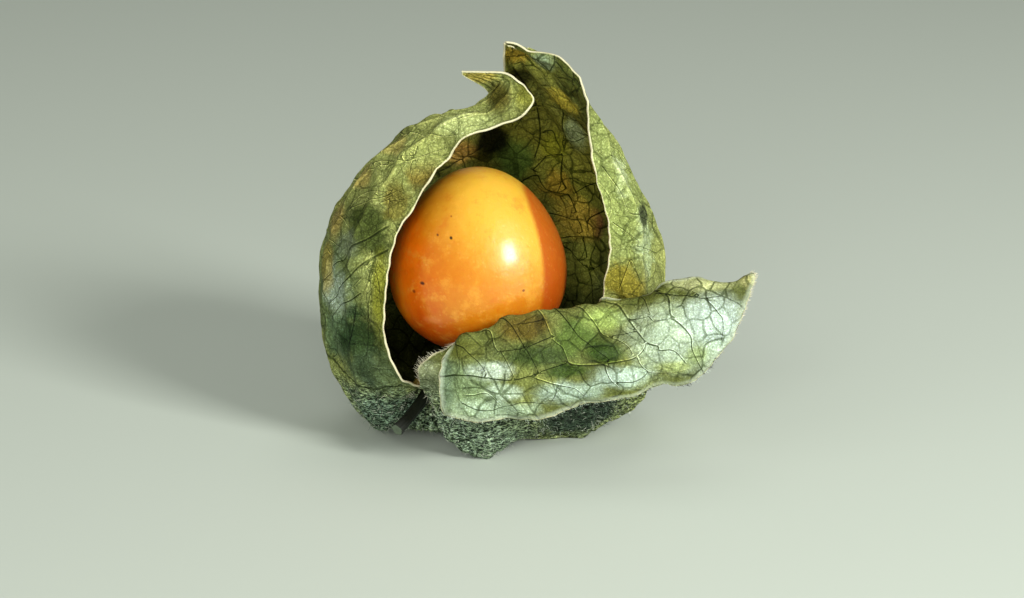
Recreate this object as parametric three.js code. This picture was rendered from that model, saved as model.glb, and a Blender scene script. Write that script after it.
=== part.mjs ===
import * as THREE from 'three';

// A physalis berry in its torn papery husk, in mm. +Z is up, -Y is the side the husk is open to.
// The husk grew as one sheet: five fused sepals from a ring round the stalk, torn down three lines
// into a left lobe that hoods the berry, a front lobe folded over like a cuff, and a right and back wall.

// Sizes
const SHEET = 0.66;          // husk thickness
const MAIN_RIB = 0.36;       // how far a main rib stands out of each face
const SIDE_VEIN = 0.26;      // how far a side vein stands out of each face
const EDGE_WAVE = 0.4;       // waviness of the free edges
const CRUMPLE = 0.2;         // gentle crumple of the whole sheet
const CUFF_CREASE = 0.45;    // crease along the middle of the turned-down lobe
const UNDERSIDE_HOLLOW = 1.3; // how far the underside arches up between the spots it rests on
const FOOT_HEIGHT = 0.22;    // the outer face is flat below this height
const BERRY_WIDTH = 19;
const BERRY_HEIGHT = 19.8;
const BERRY_CENTRE = [0, 0, 19.2];
const BERRY_TAPER = 0.16;    // how much narrower the upper end is
const STALK_RADIUS = 0.9;
const RING_RADIUS = 1.95;     // the hole in the husk that the stalk goes through
const STEPS = 4;             // mesh steps between two control points
const PLACE = [-5.785, 0.225, 0];    // moves the middle of the base to the origin

// The ring that the sepals grow from
const BASE = new THREE.Vector3(-4.9, -5.5, 6.6);
const AXIS = new THREE.Vector3(0.45, 0.6, 0.66).normalize();
const SIDE = new THREE.Vector3(1, 0, 0).addScaledVector(AXIS, -AXIS.x).normalize();
const UPWARD = new THREE.Vector3().crossVectors(AXIS, SIDE);

function ringPoint(degrees) {
  const a = THREE.MathUtils.degToRad(degrees);
  return BASE.clone()
    .addScaledVector(SIDE, RING_RADIUS * Math.cos(a))
    .addScaledVector(UPWARD, RING_RADIUS * Math.sin(a))
    .toArray();
}

// Each rib runs from the ring, under the keel it rests on, up the wall and out to the free edge.
const TEAR_FRONT_LEFT = [-6.1, -7.3, 7.4];

// From the front left tear round to the front right tear. After its fourth point a rib turns over
// the fold and comes down the outside.
const FRONT_LOBE = [
  [ringPoint(-160), TEAR_FRONT_LEFT, [-6, -8.2, 9.4], [-5.1, -9.2, 11.2],
    [-2.3, -10.7, 13.4], [-3.5, -12.4, 12.5], [-3.9, -13.6, 9.8], [-3.4, -13.8, 6.7]],
  [ringPoint(-125), [-4.4, -7.9, 5.6], [-2.9, -9.2, 2.6], [-2, -11, 7.6],
    [-0.7, -10.8, 14.3], [-1, -13.2, 12.4], [-0.6, -14.4, 8.7], [0.8, -14.5, 6.2]],
  [ringPoint(-95), [-2.4, -7.6, 3.8], [0.8, -8.9, 0.3], [1.2, -11.4, 6.5],
    [1.7, -10.6, 15.3], [3.1, -13.2, 13.5], [4.6, -14.9, 9.5], [6, -14.6, 6.6]],
  [ringPoint(-72), [-1.2, -6.9, 3.2], [5.2, -6.8, 1.9], [5.6, -10.9, 7.6],
    [4.4, -10.3, 16.1], [7, -13, 14.3], [9.8, -14.8, 10.3], [12.1, -14.2, 8.1]],
  [ringPoint(-55), [-0.3, -6.4, 2.8], [8.2, -4.8, 1.7], [8.8, -9.9, 8],
    [7.2, -9.7, 16.6], [10.8, -12.6, 14.4], [15.2, -14.3, 11.2], [18.3, -13.4, 9.3]],
  [ringPoint(-42), [0.3, -6, 2.4], [10.8, -2.8, 0.5], [11.2, -8.8, 8.6],
    [9.4, -9, 16.5], [13.9, -11.9, 14.7], [19.6, -13.5, 12.7], [23.8, -12.2, 11]],
  [ringPoint(-30), [0.5, -5.7, 2.2], [12.3, -2.4, 1.1], [12.6, -7.9, 9.6],
    [11.3, -8.4, 16.3], [16, -10.9, 16.2], [22.4, -12, 15.8], [27.4, -9.8, 16.2]],
  [ringPoint(-18), [0.4, -5.4, 2], [13, -2.2, 1.4], [13.2, -7.3, 10.6],
    [12.2, -8, 16.3], [17, -9.2, 17.6], [23.4, -9.6, 18.7], [28.8, -7.6, 19.6]],
  [ringPoint(-6), [0.2, -5.1, 1.9], [13.4, -1.9, 1.6], [13.5, -6.8, 11.4],
    [12.8, -7.5, 16.3], [16.9, -7.6, 17.5], [22.1, -7.2, 19.2], [26.9, -6.6, 18.7]],
];
const TEAR_FRONT_RIGHT = FRONT_LOBE[8].slice(0, 4);

// From the front right tear round the right and the back to the top left tear.
const RIGHT_WALL = [
  [...TEAR_FRONT_RIGHT, [13.2, -5.8, 17.9], [13.7, -4.5, 23.6],
    [11.8, -2.4, 30.5], [11.2, -0.5, 36.5], [8.6, 1.7, 39.9], [2.9, 3.5, 42]],
  [ringPoint(12), [-0.3, -5.1, 1.8], [14.3, 0.5, 1.2], [18, -4, 8.4], [17, -5, 17.2],
    [16.8, -4, 23.4], [14.2, -2, 29.7], [12.7, 0.2, 34], [9.3, 2.3, 38.1], [3.6, 4, 41.6]],
  [ringPoint(30), [-1, -5, 1.7], [13.8, 4, 0.9], [19, 0.5, 7.6], [19.3, -0.5, 16.4],
    [18.5, 0.5, 22.8], [15.4, 2, 29.1], [12.5, 3, 33.2], [9.1, 4.2, 37.1], [5, 4.6, 40.8]],
  [ringPoint(50), [-2, -4.8, 1.6], [10, 8.4, 0.8], [17, 7.5, 7], [17.6, 7, 16],
    [16.2, 8, 22.6], [12.6, 8.2, 29], [9.8, 7.8, 33.2], [7, 6.4, 37.2], [4.5, 5, 40.9]],
  [ringPoint(70), [-3.3, -4.6, 1.5], [3.5, 10.4, 0.5], [9, 12.6, 7], [10, 13.6, 16],
    [9.5, 13.5, 23], [8.2, 12.2, 29.8], [6.8, 10, 34.2], [5, 7.4, 38], [3.6, 5.1, 41.2]],
  [ringPoint(90), [-4.9, -4.2, 1.4], [-3.5, 9.6, 1], [0.5, 13.6, 7], [0.5, 14.4, 16],
    [1, 14.2, 23], [2.4, 12.6, 30], [3.4, 10.2, 34.6], [3.4, 7.2, 38.4], [3, 5, 41.4]],
  [ringPoint(112), [-6.5, -3.7, 1.4], [-8, 6.8, 1.2], [-7.6, 11.6, 7], [-8.2, 12.4, 16],
    [-7, 12.4, 22.8], [-3, 11.2, 28.8], [1.7, 10, 32.3], [2.8, 7, 37.8], [2.6, 4.6, 41.6]],
];
const TEAR_TOP_LEFT = RIGHT_WALL[6].slice(0, 7);

// From the top left tear round the left to the front left tear. The tips curl over together.
const LEFT_LOBE = [
  [...TEAR_TOP_LEFT, [-3.6, 6.3, 32.6], [-0.2, 2.8, 34.3], [1.2, 0.6, 37.2], [-1.6, -1, 39.5]],
  [ringPoint(135), [-7.8, -3.6, 1.6], [-10.2, 5.4, 0.9], [-13.2, 7.6, 7], [-14.2, 7.6, 16],
    [-12.4, 8, 22.6], [-8.2, 7.6, 28.6], [-4.9, 4.8, 32.6], [-0.5, 2.2, 34.6], [1.7, 0, 37.9],
    [-1.6, -1, 39.6]],
  [ringPoint(155), [-8.7, -4.4, 2], [-10.4, 2.4, 0.5], [-15.4, 2, 7.6], [-16.5, 1.5, 16.5],
    [-15.2, 2.5, 23.2], [-10.9, 3, 28.9], [-6.2, 3, 32.8], [-0.5, 1.4, 35], [2.1, -0.5, 38.5],
    [-1.6, -1.1, 39.7]],
  [ringPoint(172), [-9, -5.8, 3.3], [-10.8, -1.6, 1], [-15.1, -3.4, 8.4], [-15.8, -3.2, 17],
    [-14.5, -2.2, 23.6], [-10.9, -1, 29.5], [-5.6, 0.2, 33.5], [0.4, -0.2, 35.8], [2.7, -1, 38.9],
    [-1.6, -1.1, 39.8]],
  [ringPoint(186), [-8.2, -6.9, 5.2], [-10.4, -5.4, 2.8], [-12.8, -7.4, 9.8], [-13.4, -7, 17.8],
    [-12.2, -5.6, 24], [-8.7, -4.2, 29.7], [-4.2, -2.6, 33.8], [2.4, -2, 36.3], [3.5, -1.5, 39.3],
    [-1.6, -1.2, 39.9]],
  [ringPoint(200), TEAR_FRONT_LEFT, [-8.2, -9.4, 9.3], [-9.3, -9.2, 13.2], [-9.3, -8.2, 18.6],
    [-8.2, -7, 23.8], [-4.9, -5.6, 29], [-1.4, -4.4, 33.1], [5.9, -3.6, 36.5], [3.8, -2, 39.8],
    [-1.6, -1.2, 39.9]],
];

// Going round, each part of the sheet is joined to the next one up to this control row.
const PARTS = [
  { ribs: FRONT_LOBE, joinedTo: 3 },
  { ribs: RIGHT_WALL, joinedTo: 6 },
  { ribs: LEFT_LOBE, joinedTo: 1 },
];

const mirrored = (a, b) => a.map((value, k) => 2 * value - b[k]);

// The control grid of one part with a border of points all round, which a neighbour shares
// where the sheet isn't torn.
function controlGrid(index) {
  const part = PARTS[index];
  const before = PARTS[(index + 2) % 3];
  const after = PARTS[(index + 1) % 3];
  const ribs = part.ribs;
  const last = ribs.length - 1;
  const first = ribs[0].map((point, row) =>
    row <= before.joinedTo ? before.ribs[before.ribs.length - 2][row] : mirrored(point, ribs[1][row]));
  const end = ribs[last].map((point, row) =>
    row <= part.joinedTo ? after.ribs[1][row] : mirrored(point, ribs[last - 1][row]));
  return [first, ...ribs, end].map((rib) => {
    const top = rib.length - 1;
    return [mirrored(rib[0], rib[1]), ...rib, mirrored(rib[top], rib[top - 1])];
  });
}

// Weights of the four control points round a place t of the way from the second to the third
function weights(t) {
  return [
    -0.5 * t ** 3 + t * t - 0.5 * t,
    1.5 * t ** 3 - 2.5 * t * t + 1,
    -1.5 * t ** 3 + 2 * t * t + 0.5 * t,
    0.5 * t ** 3 - 0.5 * t * t,
  ];
}

function surfacePoint(grid, u, v) {
  const i = Math.min(Math.floor(u), grid.length - 4);
  const j = Math.min(Math.floor(v), grid[0].length - 4);
  const wu = weights(u - i);
  const wv = weights(v - j);
  const p = new THREE.Vector3();
  for (let a = 0; a < 4; a += 1) {
    for (let b = 0; b < 4; b += 1) {
      const w = wu[a] * wv[b];
      const c = grid[i + a][j + b];
      p.x += w * c[0];
      p.y += w * c[1];
      p.z += w * c[2];
    }
  }
  return p;
}

const clamp01 = (x) => Math.min(1, Math.max(0, x));

function crumple(p) {
  return Math.sin(0.85 * p.x + 0.6 * p.z + 1.3) * Math.cos(0.7 * p.y - 0.5 * p.z)
    + 0.6 * Math.sin(1.5 * p.x - 1.1 * p.y + 0.9 * p.z);
}

// The sheet's middle surface: points, how far each is pushed out of the middle, and how much
// each is thickened. Joined edges share their points.
function makeSheet() {
  const points = [];
  const push = [];
  const raise = [];
  const quads = [];
  const maps = [];
  PARTS.forEach((part, index) => {
    const grid = controlGrid(index);
    const columns = (part.ribs.length - 1) * STEPS;
    const rows = (part.ribs[0].length - 1) * STEPS;
    const before = PARTS[(index + 2) % 3].joinedTo * STEPS;
    const after = part.joinedTo * STEPS;
    const map = [];
    for (let i = 0; i <= columns; i += 1) {
      map.push([]);
      for (let j = 0; j <= rows; j += 1) {
        if (i === 0 && index > 0 && j <= before) {
          map[0].push(maps[index - 1][maps[index - 1].length - 1][j]);
          continue;
        }
        if (i === columns && index === 2 && j <= after) {
          map[i].push(maps[0][0][j]);
          continue;
        }
        const p = surfacePoint(grid, i / STEPS, j / STEPS);
        const underneath = j > STEPS && j < 2 * STEPS ? Math.sin((Math.PI * (j - STEPS)) / STEPS) : 0;
        p.z += UNDERSIDE_HOLLOW * underneath * clamp01((p.y + 4) / 5);
        const awayFromRing = clamp01((j - STEPS) / (1.5 * STEPS));
        const leftEdge = clamp01(1 - i / 6) * clamp01((j - before) / STEPS);
        const rightEdge = clamp01(1 - (columns - i) / 6) * clamp01((j - after) / STEPS);
        const topEdge = clamp01(1 - (rows - j) / 5);
        const tip = index === 2 ? clamp01((rows - j) / (2 * STEPS)) : 1;
        let out = CRUMPLE * crumple(p) * awayFromRing * tip;
        const wave = Math.sin(0.65 * (p.x + p.z) + 0.3 * p.y);
        out += EDGE_WAVE * Math.max(leftEdge, rightEdge, topEdge) * tip * wave;
        if (index === 0) {
          out -= CUFF_CREASE * clamp01(1 - Math.abs(j / STEPS - 5.5) / 0.6);
        }
        const fromRib = Math.min(i % STEPS, STEPS - (i % STEPS));
        let thick = 0;
        if (fromRib === 0) {
          thick = MAIN_RIB;
        } else if ((j - fromRib + 4 * STEPS) % STEPS === 2) {
          thick = SIDE_VEIN;
        }
        map[i].push(points.length);
        points.push(p);
        push.push(out);
        raise.push(thick * awayFromRing * (index === 2 ? clamp01((rows - j) / STEPS) : 1));
      }
    }
    maps.push(map);
    for (let i = 0; i < columns; i += 1) {
      for (let j = 0; j < rows; j += 1) {
        const q = [map[i][j], map[i + 1][j], map[i + 1][j + 1], map[i][j + 1]];
        quads.push(i % STEPS < STEPS / 2 ? q : [q[1], q[2], q[3], q[0]]);
      }
    }
  });
  const faces = quads.flatMap(([a, b, c, d]) => [[a, b, c], [a, c, d]]);
  return { points, push, raise, faces };
}

function pointNormals(points, faces) {
  const normals = points.map(() => new THREE.Vector3());
  const ab = new THREE.Vector3();
  const ac = new THREE.Vector3();
  faces.forEach(([a, b, c]) => {
    ab.subVectors(points[b], points[a]);
    ac.subVectors(points[c], points[a]);
    ab.cross(ac);
    normals[a].add(ab);
    normals[b].add(ab);
    normals[c].add(ab);
  });
  return normals.map((n) => n.normalize());
}

function solid(positions, triangles) {
  const geometry = new THREE.BufferGeometry();
  const values = positions.flatMap((p) => p.toArray());
  geometry.setAttribute('position', new THREE.Float32BufferAttribute(values, 3));
  geometry.setIndex(triangles.flat());
  geometry.translate(...PLACE);
  geometry.computeVertexNormals();
  return geometry;
}

// The husk: the sheet thickened both ways, closed along its free edges and flattened where it rests
function makeHusk() {
  const { points, push, raise, faces } = makeSheet();
  let normals = pointNormals(points, faces);
  points.forEach((p, k) => p.addScaledVector(normals[k], push[k]));
  normals = pointNormals(points, faces);
  const count = points.length;
  const outer = points.map((p, k) => p.clone().addScaledVector(normals[k], SHEET / 2 + raise[k]));
  const inner = points.map((p, k) => p.clone().addScaledVector(normals[k], -SHEET / 2 - raise[k]));
  outer.forEach((p) => {
    p.z = p.z < FOOT_HEIGHT ? 0 : p.z;
  });
  const triangles = [];
  const edges = new Map();
  faces.forEach(([a, b, c]) => {
    triangles.push([a, b, c], [c + count, b + count, a + count]);
    [[a, b], [b, c], [c, a]].forEach(([from, to]) => edges.set(`${from} ${to}`, [from, to]));
  });
  edges.forEach(([from, to]) => {
    if (!edges.has(`${to} ${from}`)) {
      triangles.push([to, from, from + count], [to, from + count, to + count]);
    }
  });
  return solid([...outer, ...inner], triangles);
}

// The berry: an egg with its narrower end up
function makeBerry() {
  const sides = 48;
  const rings = 26;
  const profile = [];
  for (let k = 0; k <= rings; k += 1) {
    const a = -Math.PI / 2 + (Math.PI * k) / rings;
    const taper = (1 - BERRY_TAPER * Math.sin(a)) / (1 + 0.5 * BERRY_TAPER * BERRY_TAPER);
    const x = (BERRY_WIDTH / 2) * Math.cos(a) * taper;
    profile.push(new THREE.Vector2(k === 0 || k === rings ? 0 : x, (BERRY_HEIGHT / 2) * Math.sin(a)));
  }
  const geometry = new THREE.LatheGeometry(profile, sides);
  geometry.rotateX(Math.PI / 2);
  geometry.translate(...BERRY_CENTRE);
  geometry.translate(...PLACE);
  return geometry;
}

// A round stalk of changing thickness along a path, closed at both ends
function sweep(path, radii, sides, steps) {
  const curve = new THREE.CatmullRomCurve3(path.map((p) => new THREE.Vector3(...p)));
  const frames = curve.computeFrenetFrames(steps, false);
  const positions = [];
  const triangles = [];
  for (let s = 0; s <= steps; s += 1) {
    const centre = curve.getPointAt(s / steps);
    const at = (s / steps) * (radii.length - 1);
    const low = Math.min(Math.floor(at), radii.length - 2);
    const radius = THREE.MathUtils.lerp(radii[low], radii[low + 1], at - low);
    for (let k = 0; k < sides; k += 1) {
      const a = (2 * Math.PI * k) / sides;
      positions.push(centre.clone()
        .addScaledVector(frames.normals[s], radius * Math.cos(a))
        .addScaledVector(frames.binormals[s], radius * Math.sin(a)));
    }
  }
  for (let s = 0; s < steps; s += 1) {
    for (let k = 0; k < sides; k += 1) {
      const a = s * sides + k;
      const b = s * sides + ((k + 1) % sides);
      triangles.push([a, b, b + sides], [a, b + sides, a + sides]);
    }
  }
  const start = positions.push(curve.getPointAt(0)) - 1;
  const end = positions.push(curve.getPointAt(1)) - 1;
  for (let k = 0; k < sides; k += 1) {
    const next = (k + 1) % sides;
    triangles.push([start, next, k], [end, steps * sides + k, steps * sides + next]);
  }
  return solid(positions, triangles);
}

function piece(name, geometry, colour, roughness) {
  const material = new THREE.MeshStandardMaterial({ color: colour, roughness, metalness: 0 });
  const mesh = new THREE.Mesh(geometry, material);
  mesh.name = name;
  return mesh;
}

// The stalk, from its cut end through the ring to the underside of the berry
const STALK_PATH = [
  [-8.4, -10.9, 3.9], [-7.3, -9.3, 4.6], [-6, -7.1, 5.6],
  [-4.9, -5.5, 6.6], [-4, -4.5, 8.4], [-3.5, -4, 10.2],
];
const STALK_SWELL = [0.72, 0.62, 0.66, 0.84, 1, 1.3];
const stalk = sweep(STALK_PATH, STALK_SWELL.map((swell) => swell * STALK_RADIUS), 16, 14);

const berry = new THREE.Group();
berry.name = 'physalis_berry';
berry.add(piece('berry', makeBerry(), 0xf08a10, 0.28));
berry.add(piece('husk', makeHusk(), 0x8f9e62, 0.75));
berry.add(piece('stem', stalk, 0x6f6c3c, 0.8));

export default berry;
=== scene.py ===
import math

import bpy
import numpy as np
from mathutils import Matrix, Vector, kdtree


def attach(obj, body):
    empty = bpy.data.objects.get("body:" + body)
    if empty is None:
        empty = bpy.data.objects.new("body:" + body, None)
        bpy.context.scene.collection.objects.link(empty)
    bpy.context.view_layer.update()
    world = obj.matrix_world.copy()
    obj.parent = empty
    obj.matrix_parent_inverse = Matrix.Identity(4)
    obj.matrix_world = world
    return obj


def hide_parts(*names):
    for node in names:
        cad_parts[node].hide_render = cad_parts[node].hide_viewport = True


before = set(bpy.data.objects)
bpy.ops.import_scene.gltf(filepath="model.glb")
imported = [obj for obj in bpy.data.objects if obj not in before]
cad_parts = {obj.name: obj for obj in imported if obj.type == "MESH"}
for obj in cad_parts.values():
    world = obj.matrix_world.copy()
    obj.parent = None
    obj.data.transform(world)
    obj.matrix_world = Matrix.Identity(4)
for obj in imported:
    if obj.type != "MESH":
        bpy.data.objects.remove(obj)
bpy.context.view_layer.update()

bl_info = {
    "name": "Physalis berry in its husk",
    "version": (1, 0, 0),
    "blender": (4, 5, 0),
    "location": "3D View > Sidebar > Physalis",
    "description": "Makes a ripe physalis berry in its torn papery husk",
    "category": "Add Mesh",
}

MM = 0.001

# The places and sizes below are in mm, with the berry over the origin. PLACE then puts the middle of
# the base at the origin, as the solids have it.
PLACE = np.array([-5.785, 0.225, 0.0])
BERRY_CENTRE = np.array([0.0, 0.0, 19.2])
BERRY_WIDTH = 19.0
BERRY_HEIGHT = 19.8
BERRY_TAPER = 0.16
STALK_RADIUS = 0.9
RING_RADIUS = 1.95
STALK_PATH = [
    (-8.4, -10.9, 3.9), (-7.3, -9.3, 4.6), (-6.0, -7.1, 5.6),
    (-4.9, -5.5, 6.6), (-4.0, -4.5, 8.4), (-3.5, -4.0, 10.2),
]
STALK_SWELL = [0.72, 0.62, 0.66, 0.84, 1.0, 1.3]

# The husk's slow forms, as the solids have them
EDGE_WAVE = 0.4
CRUMPLE = 0.2
CUFF_CREASE = 0.45
UNDERSIDE_HOLLOW = 1.3

# The ring that the sepals grow from
BASE = np.array([-4.9, -5.5, 6.6])
AXIS = np.array([0.45, 0.6, 0.66]) / np.linalg.norm([0.45, 0.6, 0.66])
SIDE = np.array([1.0, 0.0, 0.0]) - AXIS[0] * AXIS
SIDE = SIDE / np.linalg.norm(SIDE)
UPWARD = np.cross(AXIS, SIDE)


def ring_point(degrees):
    """A point of the ring, that many degrees round from its right side."""
    a = math.radians(degrees)
    return tuple(BASE + RING_RADIUS * (math.cos(a) * SIDE + math.sin(a) * UPWARD))


# Each rib runs from the ring, under the keel it rests on, up the wall and out to the free edge.
TEAR_FRONT_LEFT = (-6.1, -7.3, 7.4)

FRONT_LOBE = [
    [ring_point(-160), TEAR_FRONT_LEFT, (-6, -8.2, 9.4), (-5.1, -9.2, 11.2),
     (-2.3, -10.7, 13.4), (-3.5, -12.4, 12.5), (-3.9, -13.6, 9.8), (-3.4, -13.8, 6.7)],
    [ring_point(-125), (-4.4, -7.9, 5.6), (-2.9, -9.2, 2.6), (-2, -11, 7.6),
     (-0.7, -10.8, 14.3), (-1, -13.2, 12.4), (-0.6, -14.4, 8.7), (0.8, -14.5, 6.2)],
    [ring_point(-95), (-2.4, -7.6, 3.8), (0.8, -8.9, 0.3), (1.2, -11.4, 6.5),
     (1.7, -10.6, 15.3), (3.1, -13.2, 13.5), (4.6, -14.9, 9.5), (6, -14.6, 6.6)],
    [ring_point(-72), (-1.2, -6.9, 3.2), (5.2, -6.8, 1.9), (5.6, -10.9, 7.6),
     (4.4, -10.3, 16.1), (7, -13, 14.3), (9.8, -14.8, 10.3), (12.1, -14.2, 8.1)],
    [ring_point(-55), (-0.3, -6.4, 2.8), (8.2, -4.8, 1.7), (8.8, -9.9, 8),
     (7.2, -9.7, 16.6), (10.8, -12.6, 14.4), (15.2, -14.3, 11.2), (18.3, -13.4, 9.3)],
    [ring_point(-42), (0.3, -6, 2.4), (10.8, -2.8, 0.5), (11.2, -8.8, 8.6),
     (9.4, -9, 16.5), (13.9, -11.9, 14.7), (19.6, -13.5, 12.7), (23.8, -12.2, 11)],
    [ring_point(-30), (0.5, -5.7, 2.2), (12.3, -2.4, 1.1), (12.6, -7.9, 9.6),
     (11.3, -8.4, 16.3), (16, -10.9, 16.2), (22.4, -12, 15.8), (27.4, -9.8, 16.2)],
    [ring_point(-18), (0.4, -5.4, 2), (13, -2.2, 1.4), (13.2, -7.3, 10.6),
     (12.2, -8, 16.3), (17, -9.2, 17.6), (23.4, -9.6, 18.7), (28.8, -7.6, 19.6)],
    [ring_point(-6), (0.2, -5.1, 1.9), (13.4, -1.9, 1.6), (13.5, -6.8, 11.4),
     (12.8, -7.5, 16.3), (16.9, -7.6, 17.5), (22.1, -7.2, 19.2), (26.9, -6.6, 18.7)],
]

RIGHT_WALL = [
    FRONT_LOBE[8][:4] + [(13.2, -5.8, 17.9), (13.7, -4.5, 23.6),
     (11.8, -2.4, 30.5), (11.2, -0.5, 36.5), (8.6, 1.7, 39.9), (2.9, 3.5, 42)],
    [ring_point(12), (-0.3, -5.1, 1.8), (14.3, 0.5, 1.2), (18, -4, 8.4), (17, -5, 17.2),
     (16.8, -4, 23.4), (14.2, -2, 29.7), (12.7, 0.2, 34), (9.3, 2.3, 38.1), (3.6, 4, 41.6)],
    [ring_point(30), (-1, -5, 1.7), (13.8, 4, 0.9), (19, 0.5, 7.6), (19.3, -0.5, 16.4),
     (18.5, 0.5, 22.8), (15.4, 2, 29.1), (12.5, 3, 33.2), (9.1, 4.2, 37.1), (5, 4.6, 40.8)],
    [ring_point(50), (-2, -4.8, 1.6), (10, 8.4, 0.8), (17, 7.5, 7), (17.6, 7, 16),
     (16.2, 8, 22.6), (12.6, 8.2, 29), (9.8, 7.8, 33.2), (7, 6.4, 37.2), (4.5, 5, 40.9)],
    [ring_point(70), (-3.3, -4.6, 1.5), (3.5, 10.4, 0.5), (9, 12.6, 7), (10, 13.6, 16),
     (9.5, 13.5, 23), (8.2, 12.2, 29.8), (6.8, 10, 34.2), (5, 7.4, 38), (3.6, 5.1, 41.2)],
    [ring_point(90), (-4.9, -4.2, 1.4), (-3.5, 9.6, 1), (0.5, 13.6, 7), (0.5, 14.4, 16),
     (1, 14.2, 23), (2.4, 12.6, 30), (3.4, 10.2, 34.6), (3.4, 7.2, 38.4), (3, 5, 41.4)],
    [ring_point(112), (-6.5, -3.7, 1.4), (-8, 6.8, 1.2), (-7.6, 11.6, 7), (-8.2, 12.4, 16),
     (-7, 12.4, 22.8), (-3, 11.2, 28.8), (1.7, 10, 32.3), (2.8, 7, 37.8), (2.6, 4.6, 41.6)],
]

LEFT_LOBE = [
    RIGHT_WALL[6][:7] + [(-3.6, 6.3, 32.6), (-0.2, 2.8, 34.3), (1.2, 0.6, 37.2), (-1.6, -1, 39.5)],
    [ring_point(135), (-7.8, -3.6, 1.6), (-10.2, 5.4, 0.9), (-13.2, 7.6, 7), (-14.2, 7.6, 16),
     (-12.4, 8, 22.6), (-8.2, 7.6, 28.6), (-4.9, 4.8, 32.6), (-0.5, 2.2, 34.6), (1.7, 0, 37.9),
     (-1.6, -1, 39.6)],
    [ring_point(155), (-8.7, -4.4, 2), (-10.4, 2.4, 0.5), (-15.4, 2, 7.6), (-16.5, 1.5, 16.5),
     (-15.2, 2.5, 23.2), (-10.9, 3, 28.9), (-6.2, 3, 32.8), (-0.5, 1.4, 35), (2.1, -0.5, 38.5),
     (-1.6, -1.1, 39.7)],
    [ring_point(172), (-9, -5.8, 3.3), (-10.8, -1.6, 1), (-15.1, -3.4, 8.4), (-15.8, -3.2, 17),
     (-14.5, -2.2, 23.6), (-10.9, -1, 29.5), (-5.6, 0.2, 33.5), (0.4, -0.2, 35.8), (2.7, -1, 38.9),
     (-1.6, -1.1, 39.8)],
    [ring_point(186), (-8.2, -6.9, 5.2), (-10.4, -5.4, 2.8), (-12.8, -7.4, 9.8), (-13.4, -7, 17.8),
     (-12.2, -5.6, 24), (-8.7, -4.2, 29.7), (-4.2, -2.6, 33.8), (2.4, -2, 36.3), (3.5, -1.5, 39.3),
     (-1.6, -1.2, 39.9)],
    [ring_point(200), TEAR_FRONT_LEFT, (-8.2, -9.4, 9.3), (-9.3, -9.2, 13.2), (-9.3, -8.2, 18.6),
     (-8.2, -7, 23.8), (-4.9, -5.6, 29), (-1.4, -4.4, 33.1), (5.9, -3.6, 36.5), (3.8, -2, 39.8),
     (-1.6, -1.2, 39.9)],
]

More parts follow.
